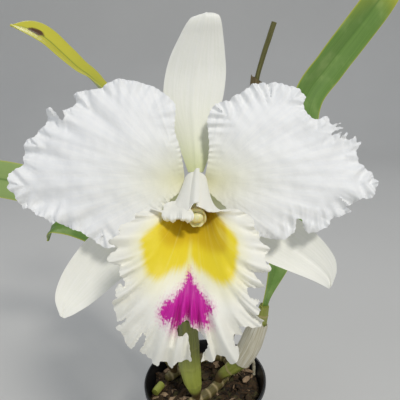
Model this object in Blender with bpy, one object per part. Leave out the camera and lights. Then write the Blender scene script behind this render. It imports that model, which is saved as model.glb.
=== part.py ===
"""Cattleya orchid in bloom, growing in a thin plastic pot of bark.

Lengths below are millimetres and angles are degrees; mesh_object turns the points to metres.
The pot stands on z = 0 with its axis at x = y = 0, and the flower faces -Y.
The flower's own frame has X to its right as seen from the front, Y behind it and Z up its face.
"""

import math
import random

import bmesh
import bpy
import numpy as np
from mathutils import Matrix, Vector
from mathutils.geometry import delaunay_2d_cdt

MM = 0.001
FINE = 24

# Pot: a thin round pot with a turned-out rim band
POT_SIDES = 40
POT_HEIGHT = 88.0
POT_RIM_RADIUS = 50.0
POT_SHOULDER_RADIUS = 47.6
POT_FOOT_RADIUS = 36.0
POT_WALL = 1.2
POT_FLOOR = 1.6
RIM_BAND_HEIGHT = 4.0
DRAIN_RADIUS = 4.0
DRAIN_RING_RADIUS = 23.0
DRAIN_COUNT = 6

# Bark: a filled plug whose top is broken into chips
BARK_LEVEL = 78.0
BARK_RINGS = 13
CHIP_COUNT = 90
CHIP_SEED = 11
CHIP_RELIEF = 2.4
BED_REACH = 5.0
CLEARANCE = 0.3

# Creeping stem, with a seat for the foot of each pseudobulb
RHIZOME_RADIUS = 4.2
RHIZOME_HEIGHT = 85.3
FOOT_RADIUS = 3.2
SEAT_DEPTH = 2.6
SEAT_FLOOR = RHIZOME_HEIGHT + RHIZOME_RADIUS - SEAT_DEPTH
FOOT_HEIGHT = SEAT_FLOOR + CLEARANCE

RHIZOME_PATH = [(-32, 4), (-26, 9), (-14, 20), (4, 28), (19, 25), (21, 10), (11, -6), (2, -16), (-7, -22),
                (-14, -25)]

# Pseudobulbs: points of the axis from just above the creeping stem, and the radius at each
BULBS = {
    "pseudobulb_front": (
        [(-7, -22, 90.5), (-9, -24, 106), (-10, -27, 126), (-9, -31, 148), (-8, -34, 168)],
        [3.6, 7.0, 8.0, 7.2, 6.0],
    ),
    "pseudobulb_right": (
        [(11, -6, 90.5), (13.5, -6, 94), (21, -7, 100), (29, -8, 108), (35.5, -8, 119),
         (40.5, -8, 131), (45.5, -9, 145), (48.5, -10, 158)],
        [3.4, 4.0, 5.2, 6.2, 6.8, 6.4, 5.0, 3.6],
    ),
    "pseudobulb_rear_right": (
        [(19, 25, 90.5), (22, 28, 112), (29, 32, 150), (37, 36, 188), (43, 39, 214)],
        [3.6, 7.0, 8.2, 7.2, 5.0],
    ),
    "pseudobulb_rear_left": (
        [(-14, 20, 90.5), (-18, 23, 108), (-25, 28, 136), (-34, 33, 166)],
        [3.6, 7.0, 7.6, 3.8],
    ),
    "pseudobulb_left": (
        [(-26, 9, 90.5), (-30, 11, 106), (-38, 13, 134), (-48, 16, 160)],
        [3.6, 6.4, 7.0, 3.6],
    ),
}
BULB_SIDES = 14
BULB_RINGS = 14
BULB_RIB = 0.05

# Leaves: the bulb each stands on, how far beside the middle of its top, the midrib above that, half width,
# fold of each half, and the direction of the right half at the foot and at the tip
LEAVES = {
    "leaf_top_left": dict(
        bulb="pseudobulb_front", beside=(0.8, 3.6, 0),
        midrib=[(-14, -23, 192), (-30, -3, 245), (-47, 18, 300), (-65, 26, 326), (-76, 27, 336),
                (-86, 30, 346), (-96, 32, 356), (-107, 34, 363), (-120, 34, 367)],
        half_width=11.0, fold=36.0, broad=(0.34, 0.91), turn=(0.5, 0.92),
        side_from=(-0.28, 0.95, 0.05), side_to=(0.1, 0.85, 0.45)),
    "leaf_middle_left": dict(
        bulb="pseudobulb_rear_left", beside=(0, 0, 0),
        midrib=[(-44, 37, 190), (-67, 42, 216), (-99, 43, 237), (-137, 42, 251), (-164, 41, 258),
                (-187, 40, 261)],
        half_width=15.0, fold=14.0, broad=(0.34, 0.78), turn=(0.0, 1.0),
        side_from=(0.8, 0.3, 0.4), side_to=(0.2, 0.2, 0.95)),
    "leaf_lower_left": dict(
        bulb="pseudobulb_left", beside=(0, 0, 0),
        midrib=[(-56, 17, 180), (-72, 19, 204), (-91, 20, 217), (-104, 20, 221), (-111, 20, 218),
                (-116, 20, 209)],
        half_width=12.0, fold=24.0, broad=(0.34, 0.78), turn=(0.0, 1.0),
        side_from=(0.5, 0.85, 0.2), side_to=(0.1, 0.95, 0.3)),
    "leaf_right": dict(
        bulb="pseudobulb_right", beside=(0, 0, 0),
        midrib=[(57, -6, 185), (68, 3, 222), (76, 10, 265), (82, 15, 305), (100, 20, 328), (117, 24, 347),
                (135, 27, 368), (152, 31, 387), (163, 34, 400)],
        half_width=13.5, fold=30.0, broad=(0.18, 0.78), turn=(0.0, 1.0),
        side_from=(0.9, 0.35, -0.4), side_to=(0.85, 0.3, -0.5)),
}
LEAF_THICKNESS = 1.6
LEAF_STATIONS = 17
LEAF_COLUMNS = 6
TOP_GAP = 0.4

# Flower frame: where its middle is, how far it faces up, and how far its own up leans to its right
FLOWER_AT = (3.2, -117.9, 287.1)
FLOWER_FACES_UP = 18.0
FLOWER_LEAN = 3.5

HUB_RADIUS = 4.6
HUB_BEHIND = 3.5

# Sepals: left edge x, z and right edge x, z, with the depth of the midrib, from the base to the tip
SEPALS = {
    "dorsal_sepal": [
        (-3, 4.9, 3.5, 4.9, 4.8), (-5.5, 12, 6, 12, 5.5), (-8.5, 21, 8, 21, 6.5), (-12.5, 31, 10.5, 31, 7),
        (-14, 40, 12.5, 39, 7), (-13, 48, 13.5, 48, 6), (-10.5, 55, 13, 55, 3.5), (-6.5, 61.5, 12, 62, 0.0),
        (-3, 66.5, 11, 67, -3.2), (-0.5, 69.5, 9.8, 70, -3.4), (1.2, 69.5, 9, 70, 0.2), (3, 65.5, 8, 66, 4.0),
        (5, 60, 6.5, 60, 7.0)],
    "sepal_left": [
        (-5.7, -0.9, -0.9, -5.7, 5.2), (-16, -6, -9, -15, 6.5), (-31, -13, -18, -27, 8.5),
        (-46, -23, -28, -38, 9.5), (-55, -34, -38, -46.5, 9), (-59.5, -43, -46, -53, 7.5),
        (-60.5, -50, -52, -56.5, 5), (-58, -57, -56, -58, 3.5)],
    "sepal_right": [
        (0.9, -5.7, 5.7, -0.9, 5.2), (10, -15, 16, -5, 6.5), (19, -26, 32, -9, 8.5),
        (29, -33, 46, -16, 9), (39, -37.5, 55, -24, 8.5), (48, -41, 60.5, -32, 6.5),
        (54, -43.5, 61, -38, 4), (57, -45, 58.5, -43.5, 2)],
}
SEPAL_THICKNESS = 1.0
SEPAL_STATIONS = 18
SEPAL_COLUMNS = 6
SEPAL_CROWN = 1.6

# Petals: margin from the upper inner lobe, out round the tip and back under to the claw
PETALS = {
    "petal_left": dict(
        side=-1,
        margin=[(-4.4, 3.5), (-6, 14), (-8.5, 22), (-8, 31), (-9, 34), (-15, 39), (-22, 42), (-28.5, 43),
                (-33, 43), (-38, 40.5), (-44, 38.5), (-46, 39), (-51, 37), (-50, 34.5), (-51, 31.5),
                (-54.5, 30), (-53.5, 27.5), (-55, 25.5), (-57, 28), (-59.5, 31), (-62, 30), (-63, 26),
                (-63, 24), (-66, 22), (-67, 19), (-70.5, 18), (-72, 14.5), (-72.5, 11.5), (-71.5, 8.5),
                (-74, 6), (-78, 4), (-78, 0), (-79, -2), (-76, -5), (-74, -9), (-73, -11), (-70, -10.5),
                (-66, -13.5), (-62.5, -14), (-60.5, -15.5), (-59, -17.5), (-57, -16), (-53.5, -18.5),
                (-48, -20), (-44, -22), (-40, -25), (-37, -27), (-31, -26), (-24, -21.5), (-17, -14.5),
                (-10, -7), (-4.4, -2.5)],
        folds=[(36, 4, 3.0, 30), (23, 3, 3.0, 40), (17.5, 1.6, 1.6, 44), (10, 3, 2.6, 42),
               (-9, 4, 3.0, 40), (-23, 4, 2.4, 28), (48, 2.2, 1.6, 30), (68, 9, 2.0, 22),
               (29, 3, -1.6, 40), (-16, 4, -1.6, 40)],
        pleats=[(0.05, 0.30, 6.5, 0.5), (0.30, 0.62, 6.0, 0.9), (0.62, 0.92, 6.5, 1.0)]),
    "petal_right": dict(
        side=1,
        margin=[(4.4, 3.5), (6, 14), (5.5, 21), (5, 26), (7, 31), (10, 33.5), (14, 34), (16, 36),
                (20, 38), (24, 41), (28, 42), (29.5, 41.5), (32, 42), (35, 42), (38, 40.5), (41.5, 40),
                (45, 37), (46, 35.5), (45, 33), (46, 29), (48.5, 26.5), (51, 26), (54.5, 27.5),
                (55.5, 26), (56, 24), (60, 24.5), (57.5, 23), (61, 22.5), (57, 21), (56.5, 19.5),
                (60.5, 21), (60, 18.5), (63, 21), (63, 18), (65, 18), (67, 19.5), (68, 17), (70, 17.5),
                (68, 14), (67.5, 11.5), (69.5, 7.5), (73.5, 4.5), (75.5, 1.5), (76.5, 0), (75.5, -3),
                (73, -6.5), (69, -6.5), (66, -9), (63, -10), (65.5, -12), (61, -14), (57, -15.5),
                (55, -18.5), (52, -19.5), (47.5, -21), (45, -19), (44, -15.5), (42, -15), (41, -20),
                (37, -23), (32.5, -23.5), (27, -22), (20, -18), (12, -9.5), (4.4, -2.5)],
        folds=[(-18, 3, 2.4, 40), (-12, 4, 2.8, 40), (-28, 3, 2.0, 30), (-44, 5, 2.0, 18), (-37, 3, -1.4, 25),
               (-6, 4, -1.4, 46), (12, 5, 1.6, 46), (24, 5, -1.6, 40), (62, 12, 1.6, 24)],
        pleats=[(0.04, 0.27, 4.2, 1.1), (0.27, 0.60, 6.5, 0.5), (0.60, 0.95, 5.2, 1.0)]),
}
PETAL_CLAW_HEIGHT = 1.0
PETAL_ARCH = 6.0
PETAL_REACH = 80.0
PETAL_DROOP = 3.0
PETAL_THICKNESS = 1.0
PETAL_SPACING = 5.0
PLEAT_DEPTH = 8.0

# Lip: a funnel round an axis, open along its top, with the shape of its edge at each angle
LIP_AT = (0.4, -3.3, 0.4)
LIP_AXIS = (-0.03, -0.85, -0.53)
LIP_THROAT_RADIUS = 4.5
# Angle from the bottom of the funnel, distance along the axis, and radius of the edge
LIP_EDGE = [(-194, 30.5, 7.8), (-168, 31.5, 6.4), (-150, 33, 5.6), (-136, 33.5, 5.8), (-124, 33, 7.5),
            (-116, 31, 10), (-110, 28.5, 13.5), (-105, 27.5, 16), (-95, 30, 23), (-85, 38, 29.5),
            (-75, 44, 32), (-60, 50, 35), (-45, 54, 37.5), (-30, 57.5, 40), (-15, 59.5, 42),
            (0, 59.5, 41), (15, 59, 40), (30, 57, 37.5), (45, 54, 35), (60, 49, 31), (71, 45, 28),
            (80, 38, 25.5), (90, 31, 22.5), (100, 27.5, 17.5), (107, 27, 14), (113, 28, 9.8),
            (125, 29, 7.6), (150, 30, 7.3), (170, 30, 7.6)]
# Angle and share of the way to that edge, with the lobes, notches and torn frill of the margin
LIP_MARGIN = [(-194, 1.0), (-180, 0.99), (-165, 1.0), (-148, 0.99), (-130, 1.0), (-116, 1.02),
              (-108, 1.04), (-104, 0.95), (-99, 1.0), (-95, 0.94), (-91, 1.0), (-88, 0.94), (-85, 0.99),
              (-82, 0.93), (-79, 0.98), (-75, 0.94), (-72, 0.89), (-66, 0.87), (-60, 0.86), (-63, 0.90),
              (-59, 0.92), (-57, 0.91), (-56, 0.95), (-52, 0.98), (-46, 0.97), (-44, 0.91), (-43, 0.94),
              (-44, 0.99), (-40, 0.97), (-37, 0.98), (-31, 1.0), (-31, 0.95), (-31, 0.89), (-28, 0.91),
              (-27, 0.95), (-27, 0.99), (-23, 0.98), (-20, 0.97), (-16, 0.99), (-15, 0.96), (-12, 0.98),
              (-9, 1.0), (-7, 0.97), (-2, 0.97), (1, 0.94), (0, 0.87), (-2, 0.81), (-7, 0.82),
              (-10, 0.79), (-9, 0.76), (-4, 0.74), (2, 0.77), (12, 0.85), (11, 0.90), (6, 0.97),
              (11, 1.0), (14, 0.97), (19, 0.97), (20, 1.01), (27, 0.99), (27, 0.95), (29, 0.92),
              (33, 0.96), (35, 0.91), (39, 0.94), (42, 0.98), (47, 0.98), (47, 0.93), (51, 0.94),
              (52, 0.91), (55, 0.94), (54, 0.86), (58, 0.87), (62, 0.95), (64, 0.96), (68, 0.90),
              (71, 0.98), (73, 1.01), (75, 0.97), (79, 1.02), (83, 0.98), (87, 1.01), (90, 0.98),
              (94, 1.02), (100, 1.03), (107, 1.05), (110, 0.99), (114, 0.94), (119, 0.97), (125, 1.0),
              (138, 0.99), (155, 1.0), (170, 1.0)]
LIP_START = -194.0
LIP_END = 170.0
LIP_OVERLAP_LIFT = 1.7
LIP_THICKNESS = 1.0
LIP_ANGLE_STEP = 7.5
LIP_SHARE_STEP = 0.085
# Angle, width, height and first share of each ridge that runs out along the lip
LIP_RIDGES = [(-80, 7, -1.6, 0.5), (-66, 5, 1.8, 0.5), (-52, 6, -1.6, 0.55), (-40, 5, 1.6, 0.55),
              (-29, 4, -1.8, 0.6), (-20, 4, 1.4, 0.6), (-9, 5, -1.0, 0.6), (12, 6, -1.2, 0.6),
              (24, 4, 1.6, 0.55), (36, 5, -1.8, 0.55), (50, 5, 1.6, 0.55), (62, 5, -1.4, 0.5),
              (77, 6, 1.4, 0.5), (90, 6, -1.2, 0.5)]

# Column, in the flower's frame, with the toothed collar of its tip, and the cap under it
COLUMN_PATH = [(0.2, -2.3, 0.6), (0.4, -10, -3.2), (0.7, -19, -8), (1.0, -26, -12), (1.0, -28.5, -13.6)]
COLUMN_RADII = [2.3, 2.6, 3.0, 3.3, 4.0]
COLUMN_SIDES = 18
COLUMN_TEETH = 0.5
TIP_HOLLOW = 0.9

# Flower stalk, from behind the flower down to its bulb: ribbed ovary first, then the round stalk
STALK_BESIDE = (0, -2.2, 0)
STALK_PATH = [(3.2, -108.6, 284.0), (3.0, -102, 281.6), (2.2, -92, 277), (0.5, -80, 268), (-1.5, -70, 256),
              (-4, -59, 236), (-6, -49, 212), (-7.4, -41.5, 188)]
STALK_RADII = [3.0, 2.9, 2.8, 2.5, 2.9, 2.2, 2.2, 2.1, 1.9, 1.9]
STALK_RINGS = 26
OVARY_RINGS = 9

# Last year's stalk, cut short, with its dry sheath
OLD_STALK_PATH = [(46, 40, 250), (50, 40, 290), (52.5, 40, 318), (57, 40, 334), (62, 40, 348), (66, 40, 359)]
OLD_STALK_RADII = [1.8, 1.8, 1.8, 1.8, 1.9, 2.0, 2.0]


def curve_through(points, count):
    """Evenly spaced points on a smooth curve through the given ones."""
    given = np.array(points, float)
    padded = np.vstack([2 * given[0] - given[1], given, 2 * given[-1] - given[-2]])
    t = np.linspace(0, 1, FINE, endpoint=False)[:, None]
    pieces = []
    for a, b, c, d in zip(padded[:-3], padded[1:-2], padded[2:-1], padded[3:]):
        pieces.append(0.5 * (2 * b + (c - a) * t + (2 * a - 5 * b + 4 * c - d) * t ** 2
                             + (3 * b - a - 3 * c + d) * t ** 3))
    dense = np.vstack(pieces + [given[-1:]])
    run = np.concatenate([[0], np.cumsum(np.linalg.norm(np.diff(dense, axis=0), axis=1))])
    at = np.linspace(0, run[-1], count)
    return np.column_stack([np.interp(at, run, column) for column in dense.T])


def smooth_step(low, high, value):
    t = np.clip((value - low) / (high - low), 0, 1)
    return t * t * (3 - 2 * t)


def smooth_table(x, xs, ys):
    """A smooth curve through a table of values, read at x."""
    xs, ys = np.array(xs, float), np.array(ys, float)
    slopes = np.gradient(ys, xs)
    i = np.clip(np.searchsorted(xs, x) - 1, 0, len(xs) - 2)
    h = xs[i + 1] - xs[i]
    t = (x - xs[i]) / h
    return ((2 * t ** 3 - 3 * t ** 2 + 1) * ys[i] + (t ** 3 - 2 * t ** 2 + t) * h * slopes[i]
            + (3 * t ** 2 - 2 * t ** 3) * ys[i + 1] + (t ** 3 - t ** 2) * h * slopes[i + 1])


def unit(vectors):
    return vectors / np.linalg.norm(vectors, axis=-1, keepdims=True)


def material(name, colour, roughness):
    made = bpy.data.materials.new(name)
    made.use_nodes = True
    shader = made.node_tree.nodes["Principled BSDF"]
    shader.inputs["Base Color"].default_value = (*colour, 1)
    shader.inputs["Roughness"].default_value = roughness
    return made


def mesh_object(name, points, faces, finish, parent=None, smooth_angle=40):
    """A named object from points in millimetres."""
    mesh = bpy.data.meshes.new(name)
    mesh.from_pydata([tuple(float(c) * MM for c in p) for p in points], [], faces)
    mesh.update()
    mesh.shade_smooth()
    mesh.set_sharp_from_angle(angle=math.radians(smooth_angle))
    mesh.materials.append(finish)
    made = bpy.data.objects.new(name, mesh)
    bpy.context.scene.collection.objects.link(made)
    if parent:
        made.parent = parent
    return made


def ring_faces(first, second, count):
    """Quads between two closed rings of points."""
    return [(first + i, first + (i + 1) % count, second + (i + 1) % count, second + i) for i in range(count)]


def frames_along(path, reference):
    """Two directions across a path at each of its points."""
    tangent = unit(np.gradient(path, axis=0))
    across = unit(np.cross(tangent, np.array(reference, float)))
    return across, np.cross(tangent, across)


def rings_along(path, radii, sides, reference=(0, 1, 0), flat=1.0, ribs=0, rib_depth=0.0):
    """Rings of points round a path, ribbed or flattened across."""
    across, deep = frames_along(path, reference)
    angle = np.arange(sides) * 2 * math.pi / sides
    swell = 1 + rib_depth * np.cos(ribs * angle)
    rings = []
    for point, a, d, radius in zip(path, across, deep, radii):
        rings.append(point + radius * swell[:, None] * (np.cos(angle)[:, None] * a
                                                        + flat * np.sin(angle)[:, None] * d))
    return rings


def solid_of_rings(name, rings, finish, parent=None, smooth_angle=40):
    """A closed solid: rings joined in order, with a flat cap on the first and the last."""
    sides = len(rings[0])
    faces = [tuple(range(sides))]
    for i in range(len(rings) - 1):
        faces += [face[::-1] for face in ring_faces(i * sides, (i + 1) * sides, sides)]
    faces.append(tuple(reversed(range((len(rings) - 1) * sides, len(rings) * sides))))
    return outward(mesh_object(name, np.vstack(rings), faces, finish, parent, smooth_angle))


def outward(made):
    """Turns every face of a closed mesh to point out."""
    mesh = made.data
    volume = 0.0
    mesh.calc_loop_triangles()
    for triangle in mesh.loop_triangles:
        a, b, c = (mesh.vertices[i].co for i in triangle.vertices)
        volume += a.dot(b.cross(c))
    if volume < 0:
        mesh.flip_normals()
    return made


def tube(name, points, radii, finish, sides=12, count=14, **shape):
    """A round or ribbed stem along a smooth path."""
    path = curve_through(points, count)
    given = curve_through(np.column_stack([points, radii]), count)[:, 3]
    return solid_of_rings(name, rings_along(path, given, sides, **shape), finish)


def sleeve(name, points, radii, wall, finish, sides=12, count=8, flat=1.0, slant=0.0):
    """A thin open tube round a stem, with its mouth cut at a slant."""
    path = curve_through(points, count)
    inner_radius = curve_through(np.column_stack([points, radii]), count)[:, 3]
    inner = rings_along(path, inner_radius, sides, flat=flat)
    outer = rings_along(path, inner_radius + wall, sides, flat=flat)
    tangent = unit(path[-1] - path[-2])
    tilt = slant * np.cos(np.arange(sides) * 2 * math.pi / sides)[:, None] * tangent
    inner[-1] = inner[-1] + tilt
    outer[-1] = outer[-1] + tilt
    loops = outer + inner[::-1]
    faces = []
    for i in range(len(loops)):
        j = (i + 1) % len(loops)
        faces += ring_faces(i * sides, j * sides, sides)
    return outward(mesh_object(name, np.vstack(loops), faces, finish))


def turned(name, profile, sides, finish):
    """A solid turned from a closed profile of radius and height."""
    angle = np.arange(sides) * 2 * math.pi / sides
    rings = [np.column_stack([r * np.cos(angle), r * np.sin(angle), np.full(sides, z)]) for r, z in profile]
    faces = []
    for i in range(len(rings) - 1):
        faces += ring_faces(i * sides, (i + 1) * sides, sides)
    faces.append(tuple(range(sides)))
    faces.append(tuple(range((len(rings) - 1) * sides, len(rings) * sides)))
    made = mesh_object(name, np.vstack(rings), faces, finish, smooth_angle=30)
    return outward(consistent(made))


def consistent(made):
    """Gives the faces of a mesh one common direction."""
    work = bmesh.new()
    work.from_mesh(made.data)
    bmesh.ops.recalc_face_normals(work, faces=work.faces)
    work.to_mesh(made.data)
    work.free()
    return made


def cut(made, cutters):
    """Takes each cutter out of a solid, and removes the cutters."""
    for cutter in cutters:
        cutter.hide_render = True
        cutter.display_type = "WIRE"
        step = made.modifiers.new("cut", "BOOLEAN")
        step.operation = "DIFFERENCE"
        step.solver = "EXACT"
        step.object = cutter
    bpy.context.view_layer.update()
    evaluated = made.evaluated_get(bpy.context.evaluated_depsgraph_get())
    shaped = bpy.data.meshes.new_from_object(evaluated)
    made.modifiers.clear()
    made.data = shaped
    for cutter in cutters:
        bpy.data.objects.remove(cutter)
    return made


def upright_cutter(x, y, low, high, radius, finish):
    rings = [np.array([(x + radius * math.cos(a), y + radius * math.sin(a), z)
                       for a in np.arange(12) * math.pi / 6]) for z in (low, high)]
    return solid_of_rings("cutter", rings, finish)


def inner_radius_at(height):
    """Radius of the pot's inside at a height above the table."""
    share = height / (POT_HEIGHT - RIM_BAND_HEIGHT)
    return POT_FOOT_RADIUS + (POT_SHOULDER_RADIUS - POT_FOOT_RADIUS) * share - POT_WALL


def make_pot(finish):
    shoulder = POT_HEIGHT - RIM_BAND_HEIGHT
    profile = [(POT_FOOT_RADIUS, 0), (POT_SHOULDER_RADIUS, shoulder), (POT_RIM_RADIUS - 0.4, shoulder),
               (POT_RIM_RADIUS, shoulder + 0.6), (POT_RIM_RADIUS, POT_HEIGHT - 0.6),
               (POT_RIM_RADIUS - 0.6, POT_HEIGHT), (POT_RIM_RADIUS - 1.6, POT_HEIGHT),
               (inner_radius_at(shoulder) + 0.4, shoulder), (inner_radius_at(POT_FLOOR), POT_FLOOR)]
    pot = turned("pot", profile, POT_SIDES, finish)
    holes = []
    for i in range(DRAIN_COUNT):
        angle = math.tau * i / DRAIN_COUNT
        x, y = DRAIN_RING_RADIUS * math.cos(angle), DRAIN_RING_RADIUS * math.sin(angle)
        holes.append(upright_cutter(x, y, -2, POT_FLOOR + 2, DRAIN_RADIUS, finish))
    return cut(pot, holes)


def bark_chips():
    """Middle, turn, tilt and height of each chip at the top of the bark."""
    draw = random.Random(CHIP_SEED)
    chips = []
    for _ in range(CHIP_COUNT):
        radius = 46 * math.sqrt(draw.random())
        turn = draw.uniform(0, math.tau)
        chips.append((radius * math.cos(turn), radius * math.sin(turn), draw.uniform(0, math.pi),
                      draw.uniform(-0.3, 0.3), draw.uniform(-CHIP_RELIEF, CHIP_RELIEF)))
    return chips


def bark_height(x, y, chips):
    """Height of the bark's surface: each point lies on the nearest chip's own slope."""
    best, height = 1e9, BARK_LEVEL
    for cx, cy, turn, slope, lift in chips:
        along = (x - cx) * math.cos(turn) + (y - cy) * math.sin(turn)
        beside = (y - cy) * math.cos(turn) - (x - cx) * math.sin(turn)
        distance = (0.6 * along) ** 2 + (1.3 * beside) ** 2
        if distance < best:
            best, height = distance, BARK_LEVEL + lift + slope * beside
    bed = RHIZOME_HEIGHT - RHIZOME_RADIUS - CLEARANCE
    stem = curve_through(RHIZOME_PATH, 60)
    if np.min(np.hypot(stem[:, 0] - x, stem[:, 1] - y)) < BED_REACH:
        return bed
    return min(height, bed)


def make_bark(finish, chips):
    angle = np.arange(POT_SIDES) * math.tau / POT_SIDES
    foot = POT_FLOOR + CLEARANCE
    edge = BARK_LEVEL - CHIP_RELIEF
    loops = [(inner_radius_at(foot) - CLEARANCE, foot), (inner_radius_at(edge) - CLEARANCE, edge)]
    rings = [np.column_stack([r * np.cos(angle), r * np.sin(angle), np.full(POT_SIDES, z)]) for r, z in loops]
    for i in range(1, BARK_RINGS):
        radius = (inner_radius_at(edge) - CLEARANCE) * (1 - i / BARK_RINGS) * 0.985
        points = [(radius * math.cos(a), radius * math.sin(a)) for a in angle]
        rings.append(np.array([(x, y, bark_height(x, y, chips)) for x, y in points]))
    points = np.vstack(rings + [np.array([[0, 0, bark_height(0, 0, chips)]])])
    faces = [tuple(reversed(range(POT_SIDES)))]
    for i in range(len(rings) - 1):
        for a, b, c, d in ring_faces(i * POT_SIDES, (i + 1) * POT_SIDES, POT_SIDES):
            faces += [(a, b, c), (a, c, d)]
    last, middle = (len(rings) - 1) * POT_SIDES, len(points) - 1
    faces += [(last + i, last + (i + 1) % POT_SIDES, middle) for i in range(POT_SIDES)]
    return outward(mesh_object("bark_medium", points, faces, finish, smooth_angle=15))


def make_rhizome(finish):
    path = [(x, y, RHIZOME_HEIGHT) for x, y in RHIZOME_PATH]
    radii = [3.0] + [RHIZOME_RADIUS] * (len(path) - 2) + [2.6]
    stem = tube("rhizome", path, radii, finish, sides=10, count=24, reference=(0, 0, 1))
    seats = []
    for points, _ in BULBS.values():
        x, y, _ = points[0]
        seats.append(upright_cutter(x, y, SEAT_FLOOR, SEAT_FLOOR + 9, FOOT_RADIUS + CLEARANCE, finish))
    return cut(stem, seats)


def bulb_stations(name):
    """Points of a bulb's axis with the radius at each."""
    points, radii = BULBS[name]
    return curve_through(np.column_stack([points, radii]), BULB_RINGS)


def bulb_top(name, beside=(0, 0, 0)):
    """Where something stands on a bulb's flat top, and the direction in which it leaves."""
    axis = bulb_stations(name)[:, :3]
    along = unit(axis[-1] - axis[-2])
    beside = np.array(beside) - along * np.dot(beside, along)
    return axis[-1] + beside + along * TOP_GAP, along


def make_bulb(name, finish):
    """A ribbed spindle whose straight foot stands in its seat."""
    x, y, z = BULBS[name][0][0]
    body = bulb_stations(name)
    rings = rings_along(body[1:, :3], body[1:, 3], BULB_SIDES, ribs=BULB_SIDES // 2, rib_depth=BULB_RIB)
    first = rings[0] - body[1][:3]
    start = math.atan2(first[0][1], first[0][0])
    round_way = 1 if np.cross(first[0], first[1])[2] > 0 else -1
    angle = start + round_way * np.arange(BULB_SIDES) * math.tau / BULB_SIDES
    foot_x, foot_y = x + FOOT_RADIUS * np.cos(angle), y + FOOT_RADIUS * np.sin(angle)
    foot = [np.column_stack([foot_x, foot_y, np.full(BULB_SIDES, height)]) for height in (FOOT_HEIGHT, z - 0.6)]
    return solid_of_rings(name, foot + rings, finish)


def make_bulbs(green, aged):
    for name in BULBS:
        make_bulb(name, green if name in ("pseudobulb_front", "pseudobulb_right") else aged)


def make_bulb_sheath(finish):
    points, radii = BULBS["pseudobulb_right"]
    clear = CLEARANCE + 0.5
    sleeve("sheath_right", points[3:7], [r * (1 + BULB_RIB) + clear for r in radii[3:7]], 0.7, finish,
           sides=14, count=9, slant=2.5)


def leaf_width(share, broad):
    """Half width of a strap leaf along its length, as a share of the widest, with a blunt tip."""
    narrow = 0.2 + 0.8 * smooth_step(0.0, broad[0], share)
    return narrow * np.sqrt(np.clip(1 - smooth_step(broad[1], 1.0, share) ** 1.7, 0.012, 1))


def leaf_surface(leaf, share, across):
    """A point of a leaf's middle surface, and the direction its upper side faces."""
    foot, along = bulb_top(leaf["bulb"], leaf["beside"])
    midrib = curve_through([foot, foot + 3 * along, foot + 8 * along] + leaf["midrib"], 200)
    tangents = unit(np.gradient(midrib, axis=0))
    at = share * 199
    point = np.array([np.interp(at, np.arange(200), column) for column in midrib.T])
    tangent = unit(np.array([np.interp(at, np.arange(200), column) for column in tangents.T]))
    turned = smooth_step(*leaf["turn"], share)
    towards = np.array(leaf["side_from"]) * (1 - turned) + np.array(leaf["side_to"]) * turned
    side = unit(towards - tangent * np.dot(towards, tangent))
    up = np.cross(side, tangent)
    fold = math.radians(leaf["fold"]) * (0.55 + 0.45 * math.sin(math.pi * min(share + 0.25, 1)))
    half = leaf["half_width"] * float(leaf_width(np.array(share), leaf["broad"]))
    rise = abs(across) ** 1.25 * math.sin(fold) - 0.08 * across ** 4
    surface = point + half * (across * math.cos(fold) * side + rise * up)
    slope = math.copysign(fold, across) if abs(across) > 1e-6 else 0.0
    return surface, math.cos(slope) * up - math.sin(slope) * side


def make_leaf(name, leaf, finish):
    """A folded strap leaf with one thickness all over."""
    across = np.linspace(-1, 1, LEAF_COLUMNS + 1)
    front, back = [], []
    for share in 1 - (1 - np.linspace(0, 1, LEAF_STATIONS)) ** 1.4:
        for a in across:
            point, facing = leaf_surface(leaf, share, a)
            half = LEAF_THICKNESS * (0.5 - 0.12 * abs(a))
            front.append(point + facing * half)
            back.append(point - facing * half)
    return two_faced(name, front, back, grid_triangles(LEAF_STATIONS, LEAF_COLUMNS + 1), finish)


def grid_triangles(rows, columns):
    faces = []
    for i in range(rows - 1):
        for j in range(columns - 1):
            a = i * columns + j
            b, c, d = a + 1, a + columns + 1, a + columns
            faces += [(a, b, c), (a, c, d)] if (i + j) % 2 else [(a, b, d), (b, c, d)]
    return faces


def two_faced(name, front, back, triangles, finish, parent=None):
    """A blade with the same triangles on both faces, closed round its edge."""
    count = len(front)
    edges = {}
    for triangle in triangles:
        for a, b in zip(triangle, triangle[1:] + triangle[:1]):
            edges[(a, b)] = True
    rim = [(a, b) for a, b in edges if (b, a) not in edges]
    faces = list(triangles) + [tuple(count + i for i in reversed(t)) for t in triangles]
    for a, b in rim:
        faces += [(b, a, count + a), (b, count + a, count + b)]
    return outward(mesh_object(name, list(front) + list(back), faces, finish, parent, smooth_angle=50))


def filled_outline(outline, inside, stretch=1.0):
    """Triangles that fill an outline and use the given points inside it."""
    flat = [Vector((float(x), float(y) * stretch)) for x, y in list(outline) + list(inside)]
    loop = list(range(len(outline)))
    points, _, faces, _, _, _ = delaunay_2d_cdt(flat, [], [loop], 1, 1e-5)
    return np.array([(p.x, p.y / stretch) for p in points]), [tuple(face) for face in faces]


def points_inside(outline, step_x, step_y, margin):
    """A staggered grid of points inside an outline, none nearer its edge than the margin."""
    shape = np.array(outline, float)
    low, high = shape.min(axis=0), shape.max(axis=0)
    found = []
    for row, y in enumerate(np.arange(low[1] + step_y / 2, high[1], step_y)):
        for x in np.arange(low[0] + (row % 2) * step_x / 2, high[0], step_x):
            if inside_outline(x, y, shape) and edge_distance(x, y, shape, step_x, step_y) > margin:
                found.append((x, y))
    return found


def inside_outline(x, y, shape):
    following = np.roll(shape, -1, axis=0)
    crosses = (shape[:, 1] > y) != (following[:, 1] > y)
    rise = np.where(crosses, following[:, 1] - shape[:, 1], 1.0)
    at = shape[:, 0] + (y - shape[:, 1]) * (following[:, 0] - shape[:, 0]) / rise
    return int(np.sum(crosses & (x < at))) % 2 == 1


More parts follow.
